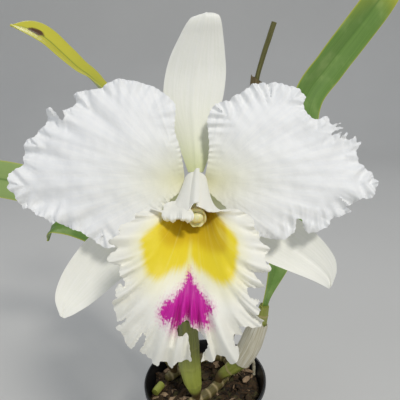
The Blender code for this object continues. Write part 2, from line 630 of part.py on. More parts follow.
def edge_distance(x, y, shape, step_x, step_y):
    """Distance to an outline, in grid steps."""
    scale = np.array([step_x, step_y])
    here, start = np.array([x, y]) / scale, shape / scale
    run = np.roll(start, -1, axis=0) - start
    t = np.clip(np.sum((here - start) * run, axis=1) / np.maximum(np.sum(run * run, axis=1), 1e-9), 0, 1)
    return float(np.min(np.linalg.norm(start + run * t[:, None] - here, axis=1)))


def flower_turn():
    """The turn from the flower's frame to the world."""
    tip_back = Matrix.Rotation(math.radians(-FLOWER_FACES_UP), 3, "X")
    return tip_back @ Matrix.Rotation(math.radians(FLOWER_LEAN), 3, "Y")


def flower_frame():
    frame = bpy.data.objects.new("flower", None)
    bpy.context.scene.collection.objects.link(frame)
    frame.matrix_world = Matrix.Translation(Vector(FLOWER_AT) * MM) @ flower_turn().to_4x4()
    return frame


def flower_point(x, y, z):
    """World millimetres of a point given in the flower's frame."""
    return Vector(FLOWER_AT) + flower_turn() @ Vector((x, y, z))


def make_sepal(name, rows, finish, parent):
    """A strap-shaped sepal from its edges and the depth of its midrib."""
    stations = curve_through(rows, SEPAL_STATIONS)
    across = np.linspace(-1, 1, SEPAL_COLUMNS + 1)
    middle = np.array([((r[0] + r[2]) / 2, r[4], (r[1] + r[3]) / 2) for r in stations])
    tangents = unit(np.gradient(middle, axis=0))
    front, back = [], []
    for row, tangent in zip(stations, tangents):
        left, right = np.array([row[0], row[4], row[1]]), np.array([row[2], row[4], row[3]])
        side = unit(right - left)
        facing = unit(np.cross(tangent, side))
        half = np.linalg.norm(right - left) / 2
        for a in across:
            bend = SEPAL_CROWN * min(half / 10, 1) * a * a
            point = (left + right) / 2 + (right - left) / 2 * a + facing * bend
            front.append(point - facing * SEPAL_THICKNESS / 2)
            back.append(point + facing * SEPAL_THICKNESS / 2)
    return two_faced(name, front, back, grid_triangles(SEPAL_STATIONS, SEPAL_COLUMNS + 1), finish, parent)


def petal_depth(petal, x, z):
    """How far a point of a petal lies behind the flower's middle plane."""
    side = petal["side"]
    along, up = side * x - 4.5, z - PETAL_CLAW_HEIGHT
    distance, angle = math.hypot(along, up), math.degrees(math.atan2(up, along))
    depth = 0.6 - PETAL_ARCH * math.sin(math.pi * min(distance / PETAL_REACH, 1) ** 0.8)
    depth += PETAL_DROOP * (angle / 60) ** 2 * distance / 60
    for middle, width, fall, start in petal["folds"]:
        grown = float(smooth_step(start, start + 22, distance))
        depth += fall * math.exp(-((angle - middle) / width) ** 2) * grown
    return depth + pleat_depth(petal, x, z)


def pleat_depth(petal, x, z):
    """Ruffles square to the margin, which fade away from it."""
    edge = petal["edge"]
    gaps = np.hypot(edge[:, 0] - x, edge[:, 1] - z)
    nearest = int(np.argmin(gaps))
    place, run = nearest / (len(edge) - 1), nearest * petal["edge_step"]
    fade = math.exp(-(gaps[nearest] / PLEAT_DEPTH) ** 2)
    total = 0.0
    for start, end, spacing, height in petal["pleats"]:
        window = smooth_step(start - 0.02, start + 0.02, place) - smooth_step(end - 0.02, end + 0.02, place)
        total += float(window) * height * math.sin(math.tau * run / spacing + 1.3 * math.sin(run / 9.0))
    return total * fade


def make_petal(name, petal, finish, parent):
    """A broad petal: its cut margin filled with triangles and lifted to its relief."""
    margin = petal["margin"]
    smooth = curve_through(margin[1:-1:3], 160)
    petal["edge"] = smooth
    petal["edge_step"] = float(np.mean(np.linalg.norm(np.diff(smooth, axis=0), axis=1)))
    inside = points_inside(margin, PETAL_SPACING, PETAL_SPACING * 0.87, 0.45)
    flat, triangles = filled_outline(margin, inside)
    front = [(x, petal_depth(petal, x, z) - PETAL_THICKNESS / 2, z) for x, z in flat]
    back = [(x, y + PETAL_THICKNESS, z) for x, y, z in front]
    return two_faced(name, front, back, triangles, finish, parent)


def lip_frame():
    """Axis of the lip's funnel, the direction of its floor and the direction of its right side."""
    axis = unit(np.array(LIP_AXIS))
    floor = unit(np.cross(axis, (1, 0, 0)))
    if floor[2] > 0:
        floor = -floor
    return axis, floor, np.cross(axis, floor)


def lip_point(angle, share):
    """Smooth funnel of the lip: an angle round it and a share of the way to its edge."""
    table = np.array(LIP_EDGE, float)
    reach = float(smooth_table(angle, table[:, 0], table[:, 1]))
    radius = float(smooth_table(angle, table[:, 0], table[:, 2]))
    flare = 1 - float(smooth_step(100, 150, abs(angle)))
    low = (1 + math.cos(math.radians(angle))) / 2
    late = (1 - flare) * 0.66 * reach + flare * (reach + 1.5 + 3 * low * low)
    hold = [(0.0, LIP_THROAT_RADIUS), (10 + 20 * low ** 0.8, 6 + low), (late, 7.5 + 0.5 * flare), (reach, radius)]
    t = share
    weights = [(1 - t) ** 3, 3 * t * (1 - t) ** 2, 3 * t * t * (1 - t), t ** 3]
    along = sum(w * h[0] for w, h in zip(weights, hold))
    out = sum(w * h[1] for w, h in zip(weights, hold))
    out += LIP_OVERLAP_LIFT * float(smooth_step(-170, -186, angle)) if angle < -170 else 0.0
    axis, floor, right = lip_frame()
    turn = math.radians(angle)
    return np.array(LIP_AT) + along * axis + out * (math.cos(turn) * floor + math.sin(turn) * right)


def lip_facing(angle, share):
    """Direction square to the smooth funnel, towards its inside."""
    low, high = max(share - 0.01, 0.0), share + 0.01
    outward_run = lip_point(angle, high) - lip_point(angle, low)
    round_run = lip_point(angle + 0.5, share) - lip_point(angle - 0.5, share)
    return unit(np.cross(outward_run, round_run))


def lip_rise(angle, share):
    """Ridges and the frill of the lip, square to its smooth funnel."""
    rise = 0.0
    for middle, width, height, start in LIP_RIDGES:
        rise += height * math.exp(-((angle - middle) / width) ** 2) * float(smooth_step(start, 1.0, share))
    frill = float(smooth_step(0.78, 1.0, share)) * (1 - float(smooth_step(95, 120, abs(angle))))
    return rise + 0.8 * frill * math.sin(math.radians(angle) * 19 + 1.5 * math.sin(math.radians(angle) * 5))


def make_lip(finish, parent):
    """The lip: its frilled outline filled in angle and share, then rolled into the funnel."""
    base = [(a, 0.0) for a in np.linspace(LIP_END, LIP_START, 26)]
    side_end = [(LIP_END, s) for s in (0.8, 0.6, 0.4, 0.2)]
    side_start = [(LIP_START, s) for s in (0.2, 0.4, 0.6, 0.8)]
    outline = LIP_MARGIN + side_end + base + side_start
    inside = points_inside(outline, LIP_ANGLE_STEP, LIP_SHARE_STEP, 0.42)
    flat, triangles = filled_outline(outline, inside, LIP_ANGLE_STEP / LIP_SHARE_STEP)
    front, back = [], []
    for angle, share in flat:
        point, facing = lip_point(angle, share), lip_facing(angle, share)
        point = point + facing * lip_rise(angle, share)
        front.append(point + facing * LIP_THICKNESS / 2)
        back.append(point - facing * LIP_THICKNESS / 2)
    return two_faced("lip", front, back, triangles, finish, parent)


def make_column(finish, parent):
    path = curve_through(COLUMN_PATH, 10)
    radii = curve_through(np.column_stack([COLUMN_PATH, COLUMN_RADII]), 10)[:, 3]
    rings = rings_along(path, radii, COLUMN_SIDES, reference=(1, 0, 0), flat=0.85)
    tangent = unit(path[-1] - path[-2])
    hollow = path[-1] + (rings[-1] - path[-1]) * 0.72 - tangent * TIP_HOLLOW
    teeth = np.cos(np.arange(COLUMN_SIDES) * math.tau / 2)[:, None] * COLUMN_TEETH
    rings[-1] = rings[-1] + teeth * tangent
    rings.append(hollow)
    return solid_of_rings("column", rings, finish, parent)


def make_anther_cap(finish, parent):
    """A small rounded cap that sits in the hollow of the column's tip."""
    path = curve_through(COLUMN_PATH, 10)
    tangent = unit(path[-1] - path[-2])
    across = np.array([1.0, 0, 0])
    deep = np.cross(tangent, across)
    start = path[-1] - tangent * (TIP_HOLLOW - 1.5 * CLEARANCE)
    rings = []
    for step, radius in ((0.0, 1.6), (0.5, 2.1), (1.3, 2.0), (2.0, 1.3), (2.3, 0.5)):
        angle = np.arange(12) * math.tau / 12
        rings.append(start + tangent * step + radius * (np.cos(angle)[:, None] * across
                                                        + 0.8 * np.sin(angle)[:, None] * deep))
    return solid_of_rings("anther_cap", rings, finish, parent)


def make_flower_stalk(finish):
    """The flower stalk and ribbed ovary in one, with the round seat that carries the flower's parts."""
    foot, along = bulb_top("pseudobulb_front", STALK_BESIDE)
    points = STALK_PATH + [foot + 6 * along, foot]
    stalk = curve_through(np.column_stack([points, STALK_RADII]), STALK_RINGS)
    middle = np.array(flower_point(0, HUB_BEHIND, 0))
    axis = unit(np.array(flower_point(0, 1, 0)) - np.array(flower_point(0, 0, 0)))
    hub = []
    for turn in np.radians(np.linspace(-76, 44, 6)):
        hub.append((*(middle + axis * HUB_RADIUS * math.sin(turn)), HUB_RADIUS * math.cos(turn)))
    stations = np.vstack([hub, stalk])
    rings = rings_along(stations[:, :3], stations[:, 3], 12, reference=(1, 0, 0), ribs=6, rib_depth=0.07)
    plain = rings_along(stations[:, :3], stations[:, 3], 12, reference=(1, 0, 0))
    rings = plain[:len(hub)] + rings[len(hub):len(hub) + OVARY_RINGS] + plain[len(hub) + OVARY_RINGS:]
    return solid_of_rings("flower_stalk", rings, finish)


def make_flower_sheath(finish):
    """The flat green sheath round the foot of the flower stalk."""
    foot, along = bulb_top("pseudobulb_front", STALK_BESIDE)
    points = [foot, foot + 6 * along, (-7.4, -41.5, 188), (-6, -49, 212), (-4.9, -55.4, 228)]
    radii = [4.3, 5.6, 8.4, 8.0, 5.0]
    sleeve("flower_sheath", points, radii, 0.7, finish, sides=14, count=9, flat=0.62, slant=4.0)


def make_old_sheath(finish):
    """The dry sheath round the old, cut flower stalk."""
    foot, along = bulb_top("pseudobulb_rear_right")
    points = [foot + 0.8 * along, (46, 40, 250), (50, 40, 290), (52.6, 40, 320)]
    radii = [4.2, 6.8, 5.6, 3.8]
    sleeve("old_flower_sheath", points, radii, 0.7, finish, sides=12, count=8, flat=0.64, slant=3.0)


def rest_on(piece, ground):
    """Lowers a piece until it lies just above the mesh under it."""
    drops = []
    for low, high, way in ((piece, ground, -1), (ground, piece, 1)):
        for corner in low.data.vertices:
            hit, place, _, _ = high.ray_cast(corner.co, (0, 0, way))
            if hit:
                drops.append(abs(place.z - corner.co.z))
    for corner in piece.data.vertices:
        corner.co.z -= min(drops) - CLEARANCE * MM


def make_small_pieces(bark, pale, green):
    """The cut stub and the loose roots that lie on the bark."""
    stub = tube("cut_stub", [(-41, -9, 92), (-38.5, -5, 92.4), (-36, -1, 92.8)], [3.2, 3.4, 3.2], green,
                sides=10, count=5)
    rest_on(stub, bark)
    root = tube("root_front", [(-17, -32, 92), (-25, -34, 92), (-33, -28, 92), (-38, -20, 92)],
                [1.5, 1.7, 1.7, 1.4], pale, sides=8, count=12)
    rest_on(root, bark)
    hit, place, _, _ = bark.ray_cast((42 * MM, 12 * MM, 1), (0, 0, -1))
    tip = place.z / MM + 0.8
    path = [(23.8, 1.2, 87.2), (26, 2.4, 91), (31, 6, 96), (37, 9, 97), (41, 10.5, 92), (42, 12, 86), (42, 12, tip)]
    tube("root_right", path, [1.5, 1.7, 1.7, 1.7, 1.7, 1.6, 1.4], pale, sides=8, count=16)


def main():
    for made in list(bpy.data.objects):
        bpy.data.objects.remove(made)
    chips = bark_chips()
    plastic = material("thin dark plastic", (0.03, 0.03, 0.035), 0.35)
    make_pot(plastic)
    bark = make_bark(material("fir bark", (0.12, 0.07, 0.035), 0.9), chips)
    stem = material("creeping stem", (0.16, 0.14, 0.05), 0.6)
    make_rhizome(stem)
    green = material("green pseudobulb", (0.16, 0.2, 0.03), 0.5)
    make_bulbs(green, material("old pseudobulb", (0.2, 0.18, 0.06), 0.6))
    papery = material("papery sheath", (0.42, 0.4, 0.26), 0.7)
    make_bulb_sheath(papery)
    leaf_green = material("leaf", (0.06, 0.15, 0.015), 0.4)
    for name, leaf in LEAVES.items():
        make_leaf(name, leaf, leaf_green)
    make_flower_sheath(material("green sheath", (0.2, 0.28, 0.06), 0.5))
    stalk = material("flower stalk", (0.22, 0.3, 0.08), 0.5)
    make_flower_stalk(stalk)
    frame = flower_frame()
    sepal_white = material("pale green sepal", (0.62, 0.64, 0.42), 0.5)
    for name, rows in SEPALS.items():
        make_sepal(name, rows, sepal_white, frame)
    petal_white = material("white petal", (0.8, 0.8, 0.78), 0.5)
    for name, petal in PETALS.items():
        make_petal(name, petal, petal_white, frame)
    make_lip(material("lip", (0.8, 0.72, 0.3), 0.5), frame)
    make_column(material("column", (0.7, 0.62, 0.25), 0.45), frame)
    make_anther_cap(material("anther cap", (0.75, 0.66, 0.3), 0.5), frame)
    brown = material("dry stalk", (0.18, 0.13, 0.06), 0.8)
    make_old_sheath(brown)
    foot, along = bulb_top("pseudobulb_rear_right")
    tube("old_flower_stalk", [foot] + OLD_STALK_PATH, OLD_STALK_RADII, brown, sides=10, count=12)
    make_small_pieces(bark, material("root", (0.6, 0.58, 0.48), 0.8), green)


main()
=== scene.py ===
"""Finished looks of the potted cattleya orchid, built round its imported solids.

Each operator makes one piece, or a group of like pieces, in the place of its plain solid.
Shapes are worked out in millimetres and turned to metres when a mesh is made. The parts of the flower
are worked out in the flower's own frame: x to its right, y away from whoever looks into it, and z up.
"""

import math
import random

import bpy
import numpy as np
from bpy.props import FloatProperty, FloatVectorProperty, IntProperty, PointerProperty
from mathutils import Matrix, Vector
from mathutils.geometry import delaunay_2d_cdt


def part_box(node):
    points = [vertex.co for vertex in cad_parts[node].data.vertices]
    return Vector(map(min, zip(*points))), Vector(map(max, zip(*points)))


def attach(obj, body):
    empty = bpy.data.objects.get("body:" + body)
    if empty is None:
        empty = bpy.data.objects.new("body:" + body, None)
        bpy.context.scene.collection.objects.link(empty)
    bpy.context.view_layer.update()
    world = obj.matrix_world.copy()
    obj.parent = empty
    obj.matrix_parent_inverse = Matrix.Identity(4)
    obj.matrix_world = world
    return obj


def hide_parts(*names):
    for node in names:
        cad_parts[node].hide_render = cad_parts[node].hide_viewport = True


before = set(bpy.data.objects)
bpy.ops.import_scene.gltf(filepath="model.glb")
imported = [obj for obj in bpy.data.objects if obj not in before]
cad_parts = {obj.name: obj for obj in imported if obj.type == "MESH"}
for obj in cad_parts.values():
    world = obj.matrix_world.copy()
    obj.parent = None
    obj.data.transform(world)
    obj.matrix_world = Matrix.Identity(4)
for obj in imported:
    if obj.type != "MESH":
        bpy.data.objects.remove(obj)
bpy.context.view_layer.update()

bl_info = {
    "name": "Potted cattleya orchid",
    "version": (1, 0, 0),
    "blender": (4, 5, 0),
    "location": "View3D > Sidebar > Orchid",
    "description": "Models and finishes a cattleya orchid in flower, in its pot",
    "category": "Add Mesh",
}

MM = 0.001
# Points worked out between two given points of a curve
SPAN_STEPS = 24
# Millimetres that one unit of a piece's map runs along it
MAP_RUN = 100

# Pot
POT_SIDES = 120
POT_HEIGHT = 88.0
POT_RIM_RADIUS = 49.9
POT_SHOULDER_RADIUS = 47.6
POT_FOOT_RADIUS = 36.0
POT_WALL = 1.2
POT_FLOOR = 1.6
RIM_BAND_HEIGHT = 4.0
DRAIN_RADIUS = 4.0
DRAIN_RING_RADIUS = 23.0
DRAIN_COUNT = 6
# Radii of the circles of the pot's floor; the drain holes lie between the second and the third
FLOOR_CIRCLES = (31.0, 27.2, 19.0, 10.0)

# Bark
BARK_LEVEL = 78.0
CHIP_COUNT = 90
CHIP_SEED = 11
CHIP_RELIEF = 2.4
CLEARANCE = 0.3
BED_REACH = 5.0
BED_SIDES = 120
BED_CIRCLES = 36

# Creeping stem and pseudobulbs, as in the solids
RHIZOME_RADIUS = 4.2
RHIZOME_HEIGHT = 85.3
FOOT_RADIUS = 3.2
SEAT_DEPTH = 2.6
FOOT_HEIGHT = RHIZOME_HEIGHT + RHIZOME_RADIUS - SEAT_DEPTH + CLEARANCE
RHIZOME_PATH = [(-32, 4), (-26, 9), (-14, 20), (4, 28), (19, 25), (21, 10), (11, -6), (2, -16), (-7, -22),
                (-14, -25)]
BULBS = {
    "pseudobulb_front": (
        [(-7, -22, 90.5), (-9, -24, 106), (-10, -27, 126), (-9, -31, 148), (-8, -34, 168)],
        [3.6, 7.0, 8.0, 7.2, 6.0],
    ),
    "pseudobulb_right": (
        [(11, -6, 90.5), (13.5, -6, 94), (21, -7, 100), (29, -8, 108), (35.5, -8, 119),
         (40.5, -8, 131), (45.5, -9, 145), (48.5, -10, 158)],
        [3.4, 4.0, 5.2, 6.2, 6.8, 6.4, 5.0, 3.6],
    ),
    "pseudobulb_rear_right": (
        [(19, 25, 90.5), (22, 28, 112), (29, 32, 150), (37, 36, 188), (43, 39, 214)],
        [3.6, 7.0, 8.2, 7.2, 5.0],
    ),
    "pseudobulb_rear_left": (
        [(-14, 20, 90.5), (-18, 23, 108), (-25, 28, 136), (-34, 33, 166)],
        [3.6, 7.0, 7.6, 3.8],
    ),
    "pseudobulb_left": (
        [(-26, 9, 90.5), (-30, 11, 106), (-38, 13, 134), (-48, 16, 160)],
        [3.6, 6.4, 7.0, 3.6],
    ),
}
BULB_RINGS = 14
BULB_LOBES = 7
BULB_RIB = 0.05
FINE_RINGS = 84
FINE_SIDES = 56
GREEN_BULBS = ("pseudobulb_front", "pseudobulb_right")
# How plainly the rings of a pseudobulb show
RING_WEAR = {"pseudobulb_front": 0.12, "pseudobulb_right": 0.9}

# Leaves, as in the solids
LEAVES = {
    "leaf_top_left": dict(
        bulb="pseudobulb_front", beside=(0.8, 3.6, 0),
        midrib=[(-14, -23, 192), (-30, -3, 245), (-47, 18, 300), (-65, 26, 326), (-76, 27, 336),
                (-86, 30, 346), (-96, 32, 356), (-107, 34, 363), (-120, 34, 367)],
        half_width=11.0, fold=36.0, broad=(0.34, 0.91), turn=(0.5, 0.92),
        side_from=(-0.28, 0.95, 0.05), side_to=(0.1, 0.85, 0.45)),
    "leaf_middle_left": dict(
        bulb="pseudobulb_rear_left", beside=(0, 0, 0),
        midrib=[(-44, 37, 190), (-67, 42, 216), (-99, 43, 237), (-137, 42, 251), (-164, 41, 258),
                (-187, 40, 261)],
        half_width=15.0, fold=14.0, broad=(0.34, 0.78), turn=(0.0, 1.0),
        side_from=(0.8, 0.3, 0.4), side_to=(0.2, 0.2, 0.95)),
    "leaf_lower_left": dict(
        bulb="pseudobulb_left", beside=(0, 0, 0),
        midrib=[(-56, 17, 180), (-72, 19, 204), (-91, 20, 217), (-104, 20, 221), (-111, 20, 218),
                (-116, 20, 209)],
        half_width=12.0, fold=24.0, broad=(0.34, 0.78), turn=(0.0, 1.0),
        side_from=(0.5, 0.85, 0.2), side_to=(0.1, 0.95, 0.3)),
    "leaf_right": dict(
        bulb="pseudobulb_right", beside=(0, 0, 0),
        midrib=[(57, -6, 185), (68, 3, 222), (76, 10, 265), (82, 15, 305), (100, 20, 328), (117, 24, 347),
                (135, 27, 368), (152, 31, 387), (163, 34, 400)],
        half_width=13.5, fold=30.0, broad=(0.18, 0.78), turn=(0.0, 1.0),
        side_from=(0.9, 0.35, -0.4), side_to=(0.85, 0.3, -0.5)),
}
# Where a leaf starts to turn yellow along its length, and where it is all yellow
LEAF_AGE = {"leaf_top_left": (0.5, 0.82), "leaf_right": (0.76, 0.97)}
# The leaf that turns its paler side to the front, and the one with a dead spot near its tip
PALE_LEAF = "leaf_middle_left"
SPOTTED_LEAF = "leaf_top_left"
LEAF_STATIONS = 110
LEAF_COLUMNS = 28
TOP_GAP = 0.4

# Flower frame and its parts, as in the solids
FLOWER_AT = (3.2, -117.9, 287.1)
FLOWER_FACES_UP = 18.0
FLOWER_LEAN = 3.5
HUB_RADIUS = 4.6
HUB_BEHIND = 3.5
SEPALS = {
    "dorsal_sepal": [
        (-3, 4.9, 3.5, 4.9, 4.8), (-5.5, 12, 6, 12, 5.5), (-8.5, 21, 8, 21, 6.5), (-12.5, 31, 10.5, 31, 7),
        (-14, 40, 12.5, 39, 7), (-13, 48, 13.5, 48, 6), (-10.5, 55, 13, 55, 3.5), (-6.5, 61.5, 12, 62, 0.0),
        (-3, 66.5, 11, 67, -3.2), (-0.5, 69.5, 9.8, 70, -3.4), (1.2, 69.5, 9, 70, 0.2), (3, 65.5, 8, 66, 4.0),
        (5, 60, 6.5, 60, 7.0)],
    "sepal_left": [
        (-5.7, -0.9, -0.9, -5.7, 5.2), (-16, -6, -9, -15, 6.5), (-31, -13, -18, -27, 8.5),
        (-46, -23, -28, -38, 9.5), (-55, -34, -38, -46.5, 9), (-59.5, -43, -46, -53, 7.5),
        (-60.5, -50, -52, -56.5, 5), (-58, -57, -56, -58, 3.5)],
    "sepal_right": [
        (0.9, -5.7, 5.7, -0.9, 5.2), (10, -15, 16, -5, 6.5), (19, -26, 32, -9, 8.5),
        (29, -33, 46, -16, 9), (39, -37.5, 55, -24, 8.5), (48, -41, 60.5, -32, 6.5),
        (54, -43.5, 61, -38, 4), (57, -45, 58.5, -43.5, 2)],
}
SEPAL_CROWN = 1.6
SEPAL_STATIONS = 90
SEPAL_COLUMNS = 20
PETALS = {
    "petal_left": dict(
        side=-1,
        margin=[(-4.4, 3.5), (-6, 14), (-8.5, 22), (-8, 31), (-9, 34), (-15, 39), (-22, 42), (-28.5, 43),
                (-33, 43), (-38, 40.5), (-44, 38.5), (-46, 39), (-51, 37), (-50, 34.5), (-51, 31.5),
                (-54.5, 30), (-53.5, 27.5), (-55, 25.5), (-57, 28), (-59.5, 31), (-62, 30), (-63, 26),
                (-63, 24), (-66, 22), (-67, 19), (-70.5, 18), (-72, 14.5), (-72.5, 11.5), (-71.5, 8.5),
                (-74, 6), (-78, 4), (-78, 0), (-79, -2), (-76, -5), (-74, -9), (-73, -11), (-70, -10.5),
                (-66, -13.5), (-62.5, -14), (-60.5, -15.5), (-59, -17.5), (-57, -16), (-53.5, -18.5),
                (-48, -20), (-44, -22), (-40, -25), (-37, -27), (-31, -26), (-24, -21.5), (-17, -14.5),
                (-10, -7), (-4.4, -2.5)],
        folds=[(36, 4, 3.0, 30), (23, 3, 3.0, 40), (17.5, 1.6, 1.6, 44), (10, 3, 2.6, 42),
               (-9, 4, 3.0, 40), (-23, 4, 2.4, 28), (48, 2.2, 1.6, 30), (68, 9, 2.0, 22),
               (29, 3, -1.6, 40), (-16, 4, -1.6, 40)],
        pleats=[(0.05, 0.30, 6.5, 0.5), (0.30, 0.62, 6.0, 0.9), (0.62, 0.92, 6.5, 1.0)]),
    "petal_right": dict(
        side=1,
        margin=[(4.4, 3.5), (6, 14), (5.5, 21), (5, 26), (7, 31), (10, 33.5), (14, 34), (16, 36),
                (20, 38), (24, 41), (28, 42), (29.5, 41.5), (32, 42), (35, 42), (38, 40.5), (41.5, 40),
                (45, 37), (46, 35.5), (45, 33), (46, 29), (48.5, 26.5), (51, 26), (54.5, 27.5),
                (55.5, 26), (56, 24), (60, 24.5), (57.5, 23), (61, 22.5), (57, 21), (56.5, 19.5),
                (60.5, 21), (60, 18.5), (63, 21), (63, 18), (65, 18), (67, 19.5), (68, 17), (70, 17.5),
                (68, 14), (67.5, 11.5), (69.5, 7.5), (73.5, 4.5), (75.5, 1.5), (76.5, 0), (75.5, -3),
                (73, -6.5), (69, -6.5), (66, -9), (63, -10), (65.5, -12), (61, -14), (57, -15.5),
                (55, -18.5), (52, -19.5), (47.5, -21), (45, -19), (44, -15.5), (42, -15), (41, -20),
                (37, -23), (32.5, -23.5), (27, -22), (20, -18), (12, -9.5), (4.4, -2.5)],
        folds=[(-18, 3, 2.4, 40), (-12, 4, 2.8, 40), (-28, 3, 2.0, 30), (-44, 5, 2.0, 18), (-37, 3, -1.4, 25),
               (-6, 4, -1.4, 46), (12, 5, 1.6, 46), (24, 5, -1.6, 40), (62, 12, 1.6, 24)],
        pleats=[(0.04, 0.27, 4.2, 1.1), (0.27, 0.60, 6.5, 0.5), (0.60, 0.95, 5.2, 1.0)]),
}
# Where a petal's foot lies beside and above the middle of the flower
PETAL_CLAW_BESIDE = 4.5
PETAL_CLAW_HEIGHT = 1.0
PETAL_ARCH = 6.0
PETAL_REACH = 80.0
PETAL_DROOP = 3.0
PLEAT_DEPTH = 8.0
# Degrees past which an edge of a thin blade stays sharp
BLADE_SHARP = 60
# Spacing of a membrane's points inside it, near its margin and along the margin, and how wide that band is
OPEN_SPACING = 1.1
RIM_SPACING = 0.55
OUTLINE_SPACING = 0.42
RIM_BAND = 6.0
FLUTE_PITCH = 2.3

LIP_AT = (0.4, -3.3, 0.4)
LIP_AXIS = (-0.03, -0.85, -0.53)
LIP_THROAT_RADIUS = 4.5
LIP_EDGE = [(-194, 30.5, 7.8), (-168, 31.5, 6.4), (-150, 33, 5.6), (-136, 33.5, 5.8), (-124, 33, 7.5),
            (-116, 31, 10), (-110, 28.5, 13.5), (-105, 27.5, 16), (-95, 30, 23), (-85, 38, 29.5),
            (-75, 44, 32), (-60, 50, 35), (-45, 54, 37.5), (-30, 57.5, 40), (-15, 59.5, 42),
            (0, 59.5, 41), (15, 59, 40), (30, 57, 37.5), (45, 54, 35), (60, 49, 31), (71, 45, 28),
            (80, 38, 25.5), (90, 31, 22.5), (100, 27.5, 17.5), (107, 27, 14), (113, 28, 9.8),
            (125, 29, 7.6), (150, 30, 7.3), (170, 30, 7.6)]
LIP_MARGIN = [(-194, 1.0), (-180, 0.99), (-165, 1.0), (-148, 0.99), (-130, 1.0), (-116, 1.02),
              (-108, 1.04), (-104, 0.95), (-99, 1.0), (-95, 0.94), (-91, 1.0), (-88, 0.94), (-85, 0.99),
              (-82, 0.93), (-79, 0.98), (-75, 0.94), (-72, 0.89), (-66, 0.87), (-60, 0.86), (-63, 0.90),
              (-59, 0.92), (-57, 0.91), (-56, 0.95), (-52, 0.98), (-46, 0.97), (-44, 0.91), (-43, 0.94),
              (-44, 0.99), (-40, 0.97), (-37, 0.98), (-31, 1.0), (-31, 0.95), (-31, 0.89), (-28, 0.91),
              (-27, 0.95), (-27, 0.99), (-23, 0.98), (-20, 0.97), (-16, 0.99), (-15, 0.96), (-12, 0.98),
              (-9, 1.0), (-7, 0.97), (-2, 0.97), (1, 0.94), (0, 0.87), (-2, 0.81), (-7, 0.82),
              (-10, 0.79), (-9, 0.76), (-4, 0.74), (2, 0.77), (12, 0.85), (11, 0.90), (6, 0.97),
              (11, 1.0), (14, 0.97), (19, 0.97), (20, 1.01), (27, 0.99), (27, 0.95), (29, 0.92),
              (33, 0.96), (35, 0.91), (39, 0.94), (42, 0.98), (47, 0.98), (47, 0.93), (51, 0.94),
              (52, 0.91), (55, 0.94), (54, 0.86), (58, 0.87), (62, 0.95), (64, 0.96), (68, 0.90),
              (71, 0.98), (73, 1.01), (75, 0.97), (79, 1.02), (83, 0.98), (87, 1.01), (90, 0.98),
              (94, 1.02), (100, 1.03), (107, 1.05), (110, 0.99), (114, 0.94), (119, 0.97), (125, 1.0),
              (138, 0.99), (155, 1.0), (170, 1.0)]
LIP_START = -194.0
LIP_END = 170.0
# Points along the inner end of the lip's outline and along each of its sides
LIP_BASE_POINTS = 180
LIP_SIDE_POINTS = 70
LIP_OVERLAP_LIFT = 1.7
LIP_RIDGES = [(-80, 7, -1.6, 0.5), (-66, 5, 1.8, 0.5), (-52, 6, -1.6, 0.55), (-40, 5, 1.6, 0.55),
              (-29, 4, -1.8, 0.6), (-20, 4, 1.4, 0.6), (-9, 5, -1.0, 0.6), (12, 6, -1.2, 0.6),
              (24, 4, 1.6, 0.55), (36, 5, -1.8, 0.55), (50, 5, 1.6, 0.55), (62, 5, -1.4, 0.5),
              (77, 6, 1.4, 0.5), (90, 6, -1.2, 0.5)]
# Points of the frilled flap under the hood's left edge, row by row from the hood down
FLAP_ROWS = [
    [(-10.9, -26, -9.3), (-9.5, -24.5, -8.4), (-7.8, -22.5, -7.9), (-5.6, -22.5, -7.5), (-3.7, -25.5, -7.7),
     (-2.2, -27.5, -8.2)],
    [(-10.8, -29.5, -10.7), (-9.4, -28.5, -10.4), (-7.7, -27.5, -10), (-5.5, -28.5, -9.8), (-3.3, -30.5, -10),
     (-1, -32, -10.3)],
    [(-11, -31, -12.4), (-9.3, -32, -12.5), (-7.6, -32.5, -12.3), (-5.5, -33, -12), (-3, -34.5, -11.9),
     (0.1, -34, -12.3)],
    [(-10.6, -31, -14), (-8.9, -32.5, -14.1), (-7.2, -33.5, -13.9), (-5.2, -35, -13.3), (-2.8, -36, -13.6),
     (-0.5, -34, -14.2)],
    [(-9.7, -29.5, -14.6), (-8.4, -31, -14.8), (-6.7, -32, -14.6), (-5, -34.5, -13.6), (-3, -34, -14.5),
     (-1.7, -32, -15)],
]
FLAP_LONG = 66
FLAP_DEEP = 40
# Millimetres along the lip for one degree and for the whole way out, about midway
DEGREE_RUN = 0.62
SHARE_RUN = 74.0
# Angle and share round the yellow of the throat, and round the magenta blaze
YELLOW_EDGE = [(-100, 0.0), (-95, 0.35), (-90, 0.62), (-85, 0.76), (-76, 0.73), (-61, 0.71), (-52, 0.68),
               (-45, 0.65), (-38, 0.58), (-31, 0.53), (-20, 0.50), (-9, 0.46), (-4, 0.43), (5, 0.46),
               (14, 0.50), (23, 0.52), (31, 0.57), (37, 0.62), (45, 0.68), (56, 0.73), (71, 0.75),
               (82, 0.77), (88, 0.62), (93, 0.35), (98, 0.0)]
BLAZE_EDGE = [(-4, 0.50), (-8, 0.55), (-13, 0.59), (-21, 0.65), (-27, 0.70), (-28, 0.75), (-22, 0.77),
              (-17, 0.75), (-13, 0.79), (-9, 0.78), (-4, 0.73), (2, 0.76), (11, 0.77), (17, 0.78),
              (16, 0.73), (24, 0.72), (21, 0.68), (15, 0.62), (9, 0.58), (3, 0.54)]
# Angle and share down to which the throat is darker: a deeper ochre, partly the throat's own colour and partly
# painted shade where the hood's shadow falls
SHADE_EDGE = [(-95, 0.62), (-73, 0.56), (-51, 0.47), (-35, 0.41), (-20, 0.36), (8, 0.35), (28, 0.41),
              (50, 0.50), (71, 0.65), (90, 0.66)]

